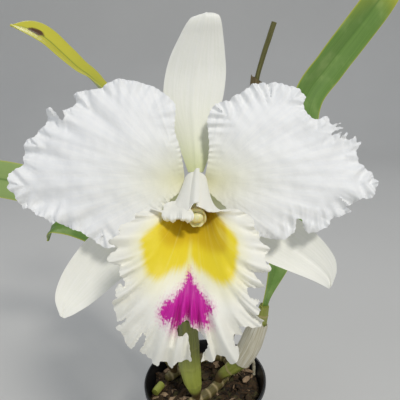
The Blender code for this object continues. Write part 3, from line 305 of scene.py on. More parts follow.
COLUMN_PATH = [(0.2, -2.3, 0.6), (0.4, -10, -3.2), (0.7, -19, -8), (1.0, -26, -12), (1.0, -28.5, -13.6)]
COLUMN_RADII = [2.3, 2.6, 3.0, 3.3, 4.0]
COLUMN_SIDES = 54
TIP_HOLLOW = 0.9

STALK_BESIDE = (0, -2.2, 0)
STALK_RINGS = 200
STALK_SIDES = 48
STALK_PATH = [(3.2, -108.6, 284.0), (3.0, -102, 281.6), (2.2, -92, 277), (0.5, -80, 268), (-1.5, -70, 256),
              (-4, -59, 236), (-6, -49, 212), (-7.4, -41.5, 188)]
STALK_RADII = [3.0, 2.9, 2.8, 2.5, 2.9, 2.2, 2.2, 2.1, 1.9, 1.9]
SHEATH_WALL = 0.6
OLD_STALK_PATH = [(46, 40, 250), (50, 40, 290), (52.5, 40, 318), (57, 40, 334), (62, 40, 348), (66, 40, 359)]
OLD_STALK_RADII = [1.8, 1.8, 1.8, 1.8, 1.9, 2.0, 2.0]

# Camera: where it stands, and the width of its view
CAMERA_AT = (4.9, -292.0, 336.0)
CAMERA_VIEW = 49.98


def srgb(text):
    """Linear colour of a hex value."""
    parts = [int(text[i:i + 2], 16) / 255 for i in (1, 3, 5)]
    return tuple(c / 12.92 if c <= 0.04045 else ((c + 0.055) / 1.055) ** 2.4 for c in parts) + (1.0,)


def run_along(path):
    """Millimetres along a path at each of its points."""
    return np.concatenate([[0], np.cumsum(np.linalg.norm(np.diff(path, axis=0), axis=1))])


def turns(count):
    """Evenly spaced angles of one full turn."""
    return np.arange(count) * math.tau / count


def curve_through(points, count, pull=0.5):
    """Evenly spaced points on a smooth curve through the given ones."""
    given = np.array(points, float)
    padded = np.vstack([2 * given[0] - given[1], given, 2 * given[-1] - given[-2]])
    t = np.linspace(0, 1, SPAN_STEPS, endpoint=False)[:, None]
    pieces = []
    for a, b, c, d in zip(padded[:-3], padded[1:-2], padded[2:-1], padded[3:]):
        pieces.append((2 * t ** 3 - 3 * t ** 2 + 1) * b + (t ** 3 - 2 * t ** 2 + t) * pull * (c - a)
                      + (3 * t ** 2 - 2 * t ** 3) * c + (t ** 3 - t ** 2) * pull * (d - b))
    dense = np.vstack(pieces + [given[-1:]])
    run = run_along(dense)
    at = np.linspace(0, run[-1], count)
    return np.column_stack([np.interp(at, run, column) for column in dense.T])


def spaced_through(points, spacing, pull=0.5):
    """As curve_through, with the spacing given in place of the count."""
    length = run_along(curve_through(points, 400, pull))[-1]
    return curve_through(points, max(int(length / spacing), 4) + 1, pull)


def smooth_step(low, high, value):
    """From 0 at the low end to 1 at the high end, with no corner at either."""
    t = np.clip((value - low) / (high - low), 0, 1)
    return t * t * (3 - 2 * t)


def smooth_table(x, xs, ys):
    """A smooth curve through a table of values, read at x."""
    xs, ys = np.array(xs, float), np.array(ys, float)
    slopes = np.gradient(ys, xs)
    i = np.clip(np.searchsorted(xs, x) - 1, 0, len(xs) - 2)
    h = xs[i + 1] - xs[i]
    t = (x - xs[i]) / h
    return ((2 * t ** 3 - 3 * t ** 2 + 1) * ys[i] + (t ** 3 - 2 * t ** 2 + t) * h * slopes[i]
            + (3 * t ** 2 - 2 * t ** 3) * ys[i + 1] + (t ** 3 - t ** 2) * h * slopes[i + 1])


def unit(vectors):
    """The same directions, one long."""
    return vectors / np.maximum(np.linalg.norm(vectors, axis=-1, keepdims=True), 1e-9)


def waves(x, y, seed, size):
    """Smooth noise between -1 and 1, with the size of its lumps."""
    draw = random.Random(seed)
    total = np.zeros_like(np.asarray(x, float) + y)
    for _ in range(7):
        turn = draw.uniform(0, math.tau)
        pitch = math.tau / (size * draw.uniform(0.7, 1.7))
        total = total + np.sin((x * math.cos(turn) + y * math.sin(turn)) * pitch + draw.uniform(0, math.tau))
    return total / 3.2


def make_piece(name, points, faces, finish, maps=None, masks=None, sharp=55, flower=False):
    """A mesh object from points in millimetres, with its own coordinates and masks for the material."""
    places = np.asarray(points, float) * MM
    mesh = bpy.data.meshes.new("orchid_" + name)
    mesh.from_pydata(places.tolist(), [], faces)
    mesh.update()
    corners = np.zeros(len(mesh.loops), np.int32)
    mesh.loops.foreach_get("vertex_index", corners)
    for key, values in (maps or {}).items():
        layer = mesh.uv_layers.new(name=key)
        layer.data.foreach_set("uv", np.asarray(values, np.float32)[corners].ravel())
    for key, values in (masks or {}).items():
        mesh.attributes.new(key, "FLOAT", "POINT").data.foreach_set("value", np.asarray(values, np.float32))
    mesh.shade_smooth()
    mesh.set_sharp_from_angle(angle=math.radians(sharp))
    mesh.materials.append(finish)
    made = bpy.data.objects.new("orchid_" + name, mesh)
    bpy.context.scene.collection.objects.link(made)
    if flower:
        mesh.transform(flower_matrix())
    turn_outward(mesh)
    return made


def turn_outward(mesh):
    """Turns the faces of a closed mesh to point out."""
    mesh.calc_loop_triangles()
    count = len(mesh.loop_triangles)
    corners = np.zeros(count * 3, np.int32)
    mesh.loop_triangles.foreach_get("vertices", corners)
    places = np.zeros(len(mesh.vertices) * 3, np.float32)
    mesh.vertices.foreach_get("co", places)
    a, b, c = places.reshape(-1, 3)[corners.reshape(-1, 3)].transpose(1, 0, 2)
    if np.sum(a * np.cross(b, c)) < 0:
        mesh.flip_normals()


def hand_over(piece, slot, *nodes):
    """Fixes a finished piece to the plant in the place of its solids."""
    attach(piece, "root")
    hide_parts(*nodes)


def flower_matrix():
    """Carries the flower's frame to where the flower hangs."""
    lean = Matrix.Rotation(math.radians(FLOWER_LEAN), 4, "Y")
    tip_back = Matrix.Rotation(math.radians(-FLOWER_FACES_UP), 4, "X")
    return Matrix.Translation(Vector(FLOWER_AT) * MM) @ tip_back @ lean


def flower_point(x, y, z):
    """World millimetres of a point given in the flower's frame."""
    return np.array(flower_matrix() @ (Vector((x, y, z)) * MM)) / MM


def frames_along(path, reference):
    """Two directions across a path at each of its points."""
    tangent = unit(np.gradient(path, axis=0))
    across = unit(np.cross(tangent, np.array(reference, float)))
    return across, np.cross(tangent, across)


def rings_along(path, radii, sides, reference=(0, 1, 0), flat=1.0):
    """Rings of points round a path, as an array of rings by sides by three. Radii may differ round a ring."""
    across, deep = frames_along(path, reference)
    angle = turns(sides)
    radii = np.asarray(radii, float)
    radii = radii[:, None] * np.ones(sides) if radii.ndim == 1 else radii
    return (path[:, None, :] + radii[..., None] * (np.cos(angle)[None, :, None] * across[:, None, :]
                                                   + flat * np.sin(angle)[None, :, None] * deep[:, None, :]))


def ring_faces(first, second, count):
    """Quads between two closed rings of points."""
    return [(first + i, first + (i + 1) % count, second + (i + 1) % count, second + i) for i in range(count)]


def solid_of_rings(name, rings, finish, flower=False, masks=None, dome=0.0):
    """A closed solid of rings, with caps; its map runs round the rings and along them."""
    count, sides, _ = rings.shape
    points = rings.reshape(-1, 3)
    start, end = rings[0].mean(axis=0), rings[-1].mean(axis=0)
    start = start + unit(start - rings[1].mean(axis=0)) * dome
    end = end + unit(end - rings[-2].mean(axis=0)) * dome
    faces = []
    for i in range(count - 1):
        faces += ring_faces(i * sides, (i + 1) * sides, sides)
    low, high = count * sides, count * sides + 1
    faces += [(low, (i + 1) % sides, i) for i in range(sides)]
    last = (count - 1) * sides
    faces += [(high, last + i, last + (i + 1) % sides) for i in range(sides)]
    run = run_along(rings.mean(axis=1)) / MAP_RUN
    grid = np.column_stack([np.tile(np.arange(sides) / sides, count), np.repeat(run, sides)])
    grid = np.vstack([grid, [(0.5, 0.0), (0.5, run[-1])]])
    if masks:
        masks = {key: np.concatenate([value, [value[0], value[-1]]]) for key, value in masks.items()}
    points = np.vstack([points, start, end])
    return make_piece(name, points, faces, finish, {"run": grid}, masks, flower=flower)


def blade(front, back, triangles, maps, masks):
    """Points, faces, maps and masks of a sheet closed round its edge. The mask back is 1 behind."""
    count = len(front)
    triangles = np.asarray(triangles)
    edges = {}
    for a, b, c in triangles.tolist():
        edges[(a, b)] = edges[(b, c)] = edges[(c, a)] = True
    faces = triangles.tolist() + (triangles[:, ::-1] + count).tolist()
    faces += [(b, a, count + a, count + b) for a, b in edges if (b, a) not in edges]
    doubled = {key: np.vstack([value, value]) for key, value in maps.items()}
    both = {key: np.concatenate([value, value]) for key, value in masks.items()}
    both["back"] = np.concatenate([np.zeros(count), np.ones(count)])
    return np.vstack([front, back]), faces, doubled, both


def two_faced(name, front, back, triangles, finish, maps, masks, flower=False):
    """A piece that is one blade."""
    points, faces, doubled, both = blade(front, back, triangles, maps, masks)
    return make_piece(name, points, faces, finish, doubled, both, BLADE_SHARP, flower)


def grid_triangles(rows, columns):
    """Triangles of a grid of points."""
    i, j = np.meshgrid(np.arange(rows - 1), np.arange(columns - 1), indexing="ij")
    a = (i * columns + j).ravel()
    b, c, d = a + 1, a + columns + 1, a + columns
    return np.vstack([np.column_stack([a, b, c]), np.column_stack([a, c, d])])


def inside_outline(points, shape):
    """Which points lie inside a closed outline."""
    x, y = points[:, 0], points[:, 1]
    inside = np.zeros(len(points), bool)
    for (x0, y0), (x1, y1) in zip(shape, np.roll(shape, -1, axis=0)):
        if y0 == y1:
            continue
        crosses = (y0 > y) != (y1 > y)
        inside ^= crosses & (x < x0 + (y - y0) * (x1 - x0) / (y1 - y0))
    return inside


def edge_distance(points, shape, closed=True):
    """Distance of each point to an outline, and the share of the way round it of the nearest place."""
    best = np.full(len(points), 1e9)
    place = np.zeros(len(points))
    following = np.roll(shape, -1, axis=0)
    stop = len(shape) if closed else len(shape) - 1
    for i in range(stop):
        run = following[i] - shape[i]
        t = np.clip(((points - shape[i]) @ run) / max(run @ run, 1e-9), 0, 1)
        gap = np.linalg.norm(points - shape[i] - t[:, None] * run, axis=1)
        nearer = gap < best
        best[nearer] = gap[nearer]
        place[nearer] = (i + t[nearer]) / stop
    return best, place


def grid_inside(shape, spacing, nearest, farthest):
    """Points inside an outline in staggered rows, at distances from it between two limits."""
    low, high = shape.min(axis=0), shape.max(axis=0)
    rows = []
    for row, y in enumerate(np.arange(low[1], high[1], spacing * 0.87)):
        xs = np.arange(low[0] + (row % 2) * spacing / 2, high[0], spacing)
        rows.append(np.column_stack([xs, np.full(len(xs), y)]))
    grid = np.vstack(rows)
    grid = grid[inside_outline(grid, shape)]
    gap = edge_distance(grid, shape)[0]
    return grid[(gap > nearest) & (gap <= farthest)]


def filled_outline(outline):
    """Triangles that fill an outline, smaller near its margin than in its middle."""
    shape = np.array(outline, float)
    rim = grid_inside(shape, RIM_SPACING, RIM_SPACING * 0.5, RIM_BAND)
    middle = grid_inside(shape, OPEN_SPACING, RIM_BAND + RIM_SPACING * 0.5, 1e9)
    flat = [Vector(p) for p in np.vstack([shape, rim, middle]).tolist()]
    points, _, faces, _, _, _ = delaunay_2d_cdt(flat, [], [list(range(len(shape)))], 1, 1e-5)
    return np.array([(p.x, p.y) for p in points]), [tuple(face) for face in faces]


def node(tree, kind, inputs=(), output=0, **settings):
    """Adds a node with its settings and links, and gives one of its outputs.

    Inputs go by place or by key. Each is a value, another node's output or the name of a mask of the piece.
    """
    made = tree.nodes.new("ShaderNode" + kind)
    for key, value in settings.items():
        setattr(made, key, value)
    for key, value in inputs.items() if isinstance(inputs, dict) else enumerate(inputs):
        if isinstance(value, str):
            value = node(tree, "Attribute", output="Fac", attribute_name=value)
        if isinstance(value, bpy.types.NodeSocket):
            tree.links.new(value, made.inputs[key])
        else:
            made.inputs[key].default_value = value
    return made.outputs[output]


def new_finish(name, roughness, **sockets):
    """A material and its Principled shader, on which the values that are the same all over are set."""
    finish = bpy.data.materials.new(name)
    finish.use_nodes = True
    shader = finish.node_tree.nodes["Principled BSDF"]
    for key, value in {"Roughness": roughness, **sockets}.items():
        shader.inputs[key.replace("_", " ")].default_value = value
    return finish, finish.node_tree, shader


def dress(tree, shader, colour, height, strength, depth_mm):
    """Gives a shader its colour and its fine relief, so many millimetres deep."""
    normal = node(tree, "Bump", {"Height": height, "Strength": strength, "Distance": depth_mm * MM})
    tree.links.new(colour, shader.inputs["Base Color"])
    tree.links.new(normal, shader.inputs["Normal"])


def layered(tree, colour, *layers):
    """A colour with others laid over it in turn. A layer is a share, the span it is read over, and its colour.

    A span is the low and high end, and where needed what they give. With None the share is taken as it is.
    """
    for share, span, over in layers:
        if span:
            share = node(tree, "MapRange", (share, *span), interpolation_type="SMOOTHSTEP")
        colour = node(tree, "Mix", {0: share, 6: colour, 7: over}, 2, data_type="RGBA")
    return colour


def weighted(tree, total, *terms):
    """A number plus some values, each times its weight."""
    for value, weight in terms:
        total = node(tree, "Math", (value, weight, total), operation="MULTIPLY_ADD")
    return total


def streaks(tree, map_name, over, size, detail=3.0, seed=0.0):
    """Noise drawn out along a piece's own map, from the width and length of one streak in millimetres.

    Over says how many millimetres one unit of the map covers each way, about midway along the piece.
    """
    place = node(tree, "UVMap", uv_map=map_name)
    scale = (over[0] / size[0], over[1] / size[1], 1.0)
    drawn = node(tree, "Mapping", {"Vector": place, "Scale": scale, "Location": (seed, seed, seed)})
    return node(tree, "TexNoise", {"Vector": drawn, "Scale": 1.0, "Detail": detail}, "Fac")


def grain(tree, size_mm, detail=2.0):
    """Noise with lumps of a size in millimetres, fixed to the piece."""
    place = node(tree, "TexCoord", output="Object")
    return node(tree, "TexNoise", {"Vector": place, "Scale": 1000 / size_mm, "Detail": detail}, "Fac")


def petal_tissue(colours):
    """Petal: thin living tissue of clear cells over air, so it is bright, soft white, a little see-through."""
    finish, tree, shader = new_finish(
        "petal_tissue", 0.55, Subsurface_Weight=0.12, Subsurface_Scale=0.0012, Sheen_Weight=0.08,
        Subsurface_Radius=(1.0, 0.95, 0.85), Specular_IOR_Level=0.35)
    veins = streaks(tree, "veins", (157.5, MAP_RUN), (1.75, 20))
    colour = layered(tree, colours.petal_shade, (veins, (0.3, 0.75), colours.petal),
                     ("claw", None, colours.claw))
    dress(tree, shader, colour, weighted(tree, 0.0, (grain(tree, 1.4, 3.0), 1.0), (veins, 0.35)), 0.3, 0.35)
    return finish


def sepal_tissue(colours):
    """Sepal: firmer tissue than a petal, waxy white that turns green towards its foot."""
    finish, tree, shader = new_finish(
        "sepal_tissue", 0.5, Subsurface_Weight=0.1, Subsurface_Scale=0.0012,
        Subsurface_Radius=(1.0, 0.95, 0.8), Specular_IOR_Level=0.4)
    veins = streaks(tree, "veins", (26, MAP_RUN), (1.0, 20))
    colour = layered(tree, colours.sepal_shade, (veins, (0.3, 0.7), colours.sepal),
                     ("claw", None, colours.sepal_foot))
    dress(tree, shader, colour, weighted(tree, 0.0, (veins, 1.0), (grain(tree, 1.6, 3.0), 1.0)), 0.15, 0.4)
    return finish


def lip_tissue(colours):
    """Lip: white tissue like the petals, yellow in the throat, with a magenta blaze that feathers out.

    Both areas end where the tissue's own veins let them, so their edges are drawn out into fine streaks.
    """
    finish, tree, shader = new_finish(
        "lip_tissue", 0.5, Subsurface_Weight=0.1, Subsurface_Scale=0.0012, Sheen_Weight=0.08,
        Subsurface_Radius=(1.0, 0.9, 0.8), Specular_IOR_Level=0.35)
    over = (112, 72)
    veins = streaks(tree, "veins", over, (1.6, 24), 2.0)
    rays = streaks(tree, "veins", over, (4.3, 45), 3.0, 5.3)
    fine = streaks(tree, "veins", over, (0.747, 6), 4.0, 3.7)
    yellow_at = weighted(tree, -1.5, ("yellow", 1.0), (veins, 3.0))
    blaze_at = weighted(tree, -6.0, ("blaze", 1.0), (grain(tree, 0.9, 3.0), 7.0), (fine, 5.0))
    # The deep mask lays ochre over the throat: partly its own deeper colour, partly painted shade of the
    # hood's shadow
    throat = layered(tree, colours.yellow, ("deep", None, colours.ochre_and_shade),
                     (rays, (0.52, 0.75, 0.0, 0.4), colours.lemon))
    blaze = layered(tree, colours.magenta, (fine, (0.35, 0.7), colours.magenta_deep))
    colour = layered(tree, colours.lip,
                     (yellow_at, (-11.0, 0.5, 0.0, 0.9), colours.cream),
                     (yellow_at, (-2.6, 2.2), throat),
                     # The streak is a paler lemon stripe down the middle of the yellow: partly the lip's own
                     # pale midline, partly painted light falling between the hood's lobes
                     ("streak", None, colours.lemon),
                     (blaze_at, (-4.5, 0.5, 0.0, 0.3), colours.magenta),
                     (blaze_at, (-1.3, 1.3), blaze),
                     ("back", (0.0, 1.0, 0.0, 0.72), colours.lip))
    dress(tree, shader, colour, weighted(tree, 0.0, (grain(tree, 1.4, 3.0), 1.0), (veins, 0.5)), 0.25, 0.35)
    return finish


def column_wax(colours):
    """Column: thick waxy flesh, cream to lemon, with a soft gloss."""
    finish, tree, shader = new_finish("column_wax", 0.35, Subsurface_Weight=0.15, Subsurface_Scale=0.0015)
    colour = layered(tree, colours.column, (grain(tree, 3.0), (0.35, 0.7), colours.cream))
    dress(tree, shader, colour, grain(tree, 1.2), 0.12, 0.3)
    return finish


def leaf_cuticle(colours):
    """Leaf: thick strap under a waxy skin; fine ribs run along it and its margin is a thin yellow line."""
    finish, tree, shader = new_finish("leaf_cuticle", 0.38, Coat_Weight=0.12, Coat_Roughness=0.3)
    ribs = streaks(tree, "run", (27.2, MAP_RUN), (0.8, 45.5), 2.0)
    colour = layered(tree, colours.leaf_dark,
                     (ribs, (0.3, 0.7, 0.35, 1.0), colours.leaf),
                     (grain(tree, 14.0, 3.0), (0.45, 0.8, 0.0, 0.45), colours.leaf_pale),
                     ("pale", None, colours.leaf_pale),
                     ("old", None, colours.leaf_yellow),
                     ("edge", None, colours.leaf_yellow),
                     # The crease mask paints shade along the groove of the midrib
                     ("crease", None, colours.leaf_dark),
                     ("back", (0.0, 1.0, 0.0, 0.35), colours.leaf_pale),
                     ("blotch", None, srgb("#5A3A1C")))
    dress(tree, shader, colour, ribs, 0.15, 0.4)
    return finish


def bulb_skin(colours, name, main, aged):
    """Pseudobulb: fleshy stem under a tough skin, grooved as it shrinks and browner towards its foot."""
    finish, tree, shader = new_finish(name, 0.45, Coat_Weight=0.05, Coat_Roughness=0.4)
    fibres = streaks(tree, "run", (48, MAP_RUN), (0.8, 33.3))
    # This yellow green is a bulb's young colour, and on the front bulb partly painted light on its lower part
    colour = layered(tree, main, (fibres, (0.3, 0.72), aged), ("fresh_and_lit", None, colours.fresh_and_lit),
                     ("foot", None, colours.foot_brown), ("ring", None, colours.ring))
    dress(tree, shader, colour, weighted(tree, 0.0, (fibres, 1.0), (grain(tree, 2.0), 0.4)), 0.4, 0.5)
    return finish


def dry_sheath(name, main, dark, roughness=0.75):
    """Dead leaf sheath: thin dry paper of long fibres."""
    finish, tree, shader = new_finish(name, roughness)
    fibres = streaks(tree, "run", (42, MAP_RUN), (0.6, 25), 4.0)
    colour = layered(tree, dark, (fibres, (0.35, 0.7), main),
                     (grain(tree, 8.0, 3.0), (0.5, 0.8, 0.0, 0.5), dark))
    dress(tree, shader, colour, fibres, 0.6, 0.6)
    return finish


def pot_plastic(colours):
    """Pot: thin moulded polypropylene, black with a satin skin, dusty and finely scuffed."""
    finish, tree, shader = new_finish("moulded_polypropylene", 0.34, Specular_IOR_Level=0.5)
    colour = layered(tree, colours.pot, (grain(tree, 9.0, 4.0), (0.55, 0.85, 0.0, 0.35), srgb("#4A4A48")))
    scuffs = node(tree, "MapRange", (grain(tree, 2.0, 4.0), 0.3, 0.8, 0.28, 0.46),
                  interpolation_type="SMOOTHSTEP")
    tree.links.new(scuffs, shader.inputs["Roughness"])
    dress(tree, shader, colour, grain(tree, 0.8), 0.1, 0.2)
    return finish


def fir_bark(colours):
    """Potting bark: fir bark, dark and corky outside, red-brown where it split, with moss and dry flakes."""
    finish, tree, shader = new_finish("fir_bark", 0.9)
    cork = grain(tree, 1.6, 5.0)
    flaky = node(tree, "MapRange", (cork, 0.2, 0.5, 0.5, 0.95), interpolation_type="SMOOTHSTEP")
    dried = node(tree, "MapRange", ("chip", 0.86, 0.9), interpolation_type="SMOOTHSTEP")
    colour = layered(tree, colours.bark_dark,
                     ("chip", None, colours.bark),
                     (cork, (0.46, 0.7, 0.0, 0.7), colours.bark_red),
                     (grain(tree, 7.0, 3.0), (0.52, 0.66, 0.0, 0.7), colours.moss),
                     (node(tree, "Math", (dried, flaky), operation="MULTIPLY"), None, colours.dry_chip))
    dress(tree, shader, colour, cork, 0.9, 1.0)
    return finish


def root_skin(colours):
    """Root: spongy white skin over a green core, dry and slightly cracked."""
    finish, tree, shader = new_finish("root_skin", 0.85)
    colour = layered(tree, colours.root, (grain(tree, 2.5, 4.0), (0.35, 0.75), srgb("#9C9274")))
    dress(tree, shader, colour, grain(tree, 1.0, 3.0), 0.5, 0.4)
    return finish


def from_claw(petal, x, z):
    """Distance and angle, in radians, of points of a petal from its foot."""
    along, up = petal["side"] * x - PETAL_CLAW_BESIDE, z - PETAL_CLAW_HEIGHT
    return np.hypot(along, up), np.arctan2(up, along)


def petal_depth(petal, x, z):
    """How far points of a petal lie behind the flower's middle plane, as in the solid."""
    distance, angle = from_claw(petal, x, z)
    angle = np.degrees(angle)
    depth = 0.6 - PETAL_ARCH * np.sin(math.pi * np.minimum(distance / PETAL_REACH, 1) ** 0.8)
    depth = depth + PETAL_DROOP * (angle / 60) ** 2 * distance / 60
    for middle, width, fall, start in petal["folds"]:
        across = np.exp(-((angle - middle) / width) ** 2)
        depth = depth + fall * across * smooth_step(start, start + 22, distance)
    edge = curve_through(petal["margin"][1:-1:3], 160)
    gap, place = edge_distance(np.column_stack([x, z]), edge, closed=False)
    run = place * run_along(edge)[-1]
    fade = np.exp(-(gap / PLEAT_DEPTH) ** 2)
    for start, end, spacing, height in petal["pleats"]:
        window = smooth_step(start - 0.02, start + 0.02, place) - smooth_step(end - 0.02, end + 0.02, place)
        depth = depth + fade * window * height * np.sin(math.tau * run / spacing + 1.3 * np.sin(run / 9.0))
    return depth


def flute_phase(run):
    """Phase of the fine flutes and teeth along a margin, so that no two are quite alike."""
    return math.tau * run / FLUTE_PITCH + 1.6 * np.sin(run / 4.1) + 0.9 * np.sin(run / 1.7 + 1)


def crimped(outline, height):
    """An outline with one small rounded tooth for each flute."""
    run = run_along(outline)
    tangent = unit(np.gradient(outline, axis=0))
    out = np.column_stack([tangent[:, 1], -tangent[:, 0]])
    tooth = 1.6 * np.abs(np.cos(flute_phase(run) / 2)) - 1 + 0.5 * np.sin(run / 2.9 + np.sin(run / 7))
    ends = smooth_step(0, 6, run) * smooth_step(0, 6, run[-1] - run)
    return outline + out * (tooth * ends * height)[:, None]


def flutes(near, run):
    """Fine flutes square to a margin that fade inwards, deeper in some stretches than in others."""
    strength = 0.55 + 0.45 * np.sin(run / 8.3 + 1.3 * np.sin(run / 19))
    reach = 3.2 + 1.4 * np.sin(run / 5.7)
    return strength * np.exp(-(near / reach) ** 1.6) * np.cos(flute_phase(run))


def make_petal(name, petal, finish, flower):
    """A broad petal with its cut margin, folds, pleats, creases and frill."""
    outline = crimped(spaced_through(petal["margin"], OUTLINE_SPACING, 0.36), flower.scallop / MM)
    flat, triangles = filled_outline(outline)
    x, z = flat[:, 0], flat[:, 1]
    near, place = edge_distance(flat, outline)
    frill = flower.frill / MM * flutes(near, place * len(outline) * OUTLINE_SPACING)
    distance, angle = from_claw(petal, x, z)
    rumple = 0.4 * waves(x, z, 21, 17) + 0.18 * waves(x, z, 22, 5.5) + 0.06 * waves(x, z, 23, 2.4)
    creases = 0.2 * waves(angle * 55, distance * 0.2, 24, 4.2) * smooth_step(8, 25, distance)
    depth = petal_depth(petal, x, z) + smooth_step(4, 16, np.hypot(x, z)) * (frill + rumple + creases)
    half = (flower.petal_thickness / MM / 2) * (0.6 + 0.4 * smooth_step(0, 6, near))
    front = np.column_stack([x, depth - half, z])
    back = np.column_stack([x, depth + half, z])
    tint = np.exp(-(distance / (12 + 5 * np.exp(-(angle / 0.5) ** 2))) ** 1.5)
    veins = np.column_stack([angle / math.pi, distance / MAP_RUN])
    return two_faced(name, front, back, triangles, finish, {"veins": veins}, {"claw": tint}, flower=True)


def make_sepal(name, rows, finish, flower):
    """A strap-shaped sepal from its edges and the depth of its midrib."""
    stations = curve_through(rows, SEPAL_STATIONS)
    across = np.linspace(-1, 1, SEPAL_COLUMNS + 1)
    left, right = stations[:, (0, 4, 1)], stations[:, (2, 4, 3)]
    middle = (left + right) / 2
    facing = unit(np.cross(unit(np.gradient(middle, axis=0)), unit(right - left)))[:, None, :]
    half = np.linalg.norm(right - left, axis=1) / 2
    bend = SEPAL_CROWN * np.minimum(half / 10, 1)[:, None] * across ** 2
    crease = -0.35 * np.exp(-(across / 0.09) ** 2)
    wave = 0.25 * waves(middle[:, :1] + across * 8, middle[:, 2:], 5, 22)
    surface = middle[:, None, :] + ((right - left) / 2)[:, None, :] * across[None, :, None]
    surface = surface + facing * (bend + crease + wave)[..., None]
    thick = 0.35 * (1 - 0.45 * np.abs(across) ** 4)[:, None]
    front = (surface - facing * thick).reshape(-1, 3)
    back = (surface + facing * thick).reshape(-1, 3)
    run = run_along(middle)
    veins = np.column_stack([np.tile(across, SEPAL_STATIONS) / 2, np.repeat(run, SEPAL_COLUMNS + 1) / MAP_RUN])
    foot = np.repeat(np.exp(-(run / flower.foot_reach * MM) ** 1.4), SEPAL_COLUMNS + 1)
    return two_faced(name, front, back, grid_triangles(SEPAL_STATIONS, SEPAL_COLUMNS + 1), finish,
                     {"veins": veins}, {"claw": foot}, flower=True)


def lip_axes():
    """Axis of the lip's funnel, the direction of its floor and the direction of its right side."""
    axis = unit(np.array(LIP_AXIS))
    floor = unit(np.cross(axis, (1, 0, 0)))
    if floor[2] > 0:
        floor = -floor
    return axis, floor, np.cross(axis, floor)


def lip_points(angle, share):
    """Smooth funnel of the lip: angles round it and shares of the way to its edge."""
    table = np.array(LIP_EDGE, float)
    reach = smooth_table(angle, table[:, 0], table[:, 1])
    radius = smooth_table(angle, table[:, 0], table[:, 2])
    flare = 1 - smooth_step(100, 150, np.abs(angle))
    low = (1 + np.cos(np.radians(angle))) / 2
    hold_along = [0 * low, 10 + 20 * low ** 0.8,
                  (1 - flare) * 0.66 * reach + flare * (reach + 1.5 + 3 * low * low), reach]
    hold_out = [LIP_THROAT_RADIUS + 0 * low, 6 + low, 7.5 + 0.5 * flare, radius]
    rest = 1 - share
    weights = [rest ** 3, 3 * share * rest ** 2, 3 * share * share * rest, share ** 3]
    along = sum(w * h for w, h in zip(weights, hold_along))
    out = sum(w * h for w, h in zip(weights, hold_out))
    out = out + LIP_OVERLAP_LIFT * smooth_step(170, 186, -angle)
    axis, floor, right = lip_axes()
    turn = np.radians(angle)
    round_way = np.cos(turn)[:, None] * floor + np.sin(turn)[:, None] * right
    return np.array(LIP_AT) + along[:, None] * axis + out[:, None] * round_way


def lip_facing(angle, share):
    """Direction square to the smooth funnel, towards its inside."""
    low, high = np.maximum(share - 0.01, 0), share + 0.01
    outward_run = lip_points(angle, high) - lip_points(angle, low)
    round_run = lip_points(angle + 0.5, share) - lip_points(angle - 0.5, share)
    return unit(np.cross(outward_run, round_run))


def lip_rise(angle, share, near, frill_height):
    """Two heights of the lip: its ridges, square to the smooth funnel, and its frill, out to the front."""
    open_part = 1 - smooth_step(95, 120, np.abs(angle))
    turn = np.radians(angle)
    ridges = 0.8 * smooth_step(0.78, 1.0, share) * open_part * np.sin(turn * 19 + 1.5 * np.sin(turn * 5))
    for middle, width, height, start in LIP_RIDGES:
        ridges = ridges + height * np.exp(-((angle - middle) / width) ** 2) * smooth_step(start, 1.0, share)
    # The front of the frill is set back, so that it stays inside the box of the solids
    set_back = 0.9 * (1 - smooth_step(60, 95, np.abs(angle)))
    broad = np.exp(-(near / 8.0) ** 2) * (
        np.sin(math.tau * angle / 11.5 + 1.8 * np.sin(angle / 12.0)) - set_back)
    middling = np.exp(-(near / 5.5) ** 1.6) * (0.6 + 0.4 * np.cos(angle / 9.0)) * np.sin(
        math.tau * angle / 5.9 + 1.4 * np.sin(angle / 7.3))
    fine = np.exp(-(near / 3.6) ** 1.6) * (0.6 + 0.4 * np.sin(angle / 6.1)) * np.sin(
        math.tau * angle / 3.1 + 1.5 * np.sin(angle / 4.7))
    outer = open_part * smooth_step(0.45, 0.75, share)
    return ridges, frill_height * outer * (2.0 * broad + 0.9 * middling + 0.6 * fine)


def lip_field(flat, edge):
    """Millimetres inside an area of the lip, negative outside it."""
    shape = spaced_through(np.array(edge + edge[:1], float) * (DEGREE_RUN, SHARE_RUN), 1.0, 0.4)[:-1]
    gap, _ = edge_distance(flat, shape)
    return np.where(inside_outline(flat, shape), gap, -gap)


def lip_outline(margin):
    """The whole outline of the flattened lip: its margin, its two sides and its narrow base."""
    base = np.column_stack([np.linspace(LIP_END, LIP_START, LIP_BASE_POINTS), np.zeros(LIP_BASE_POINTS)])
    side = np.linspace(1, 0, LIP_SIDE_POINTS)[1:-1]
    right_side = np.column_stack([np.full(len(side), LIP_END), side])
    left_side = np.column_stack([np.full(len(side), LIP_START), side[::-1]])
    return np.vstack([margin, np.vstack([right_side, base, left_side]) * (DEGREE_RUN, SHARE_RUN)])


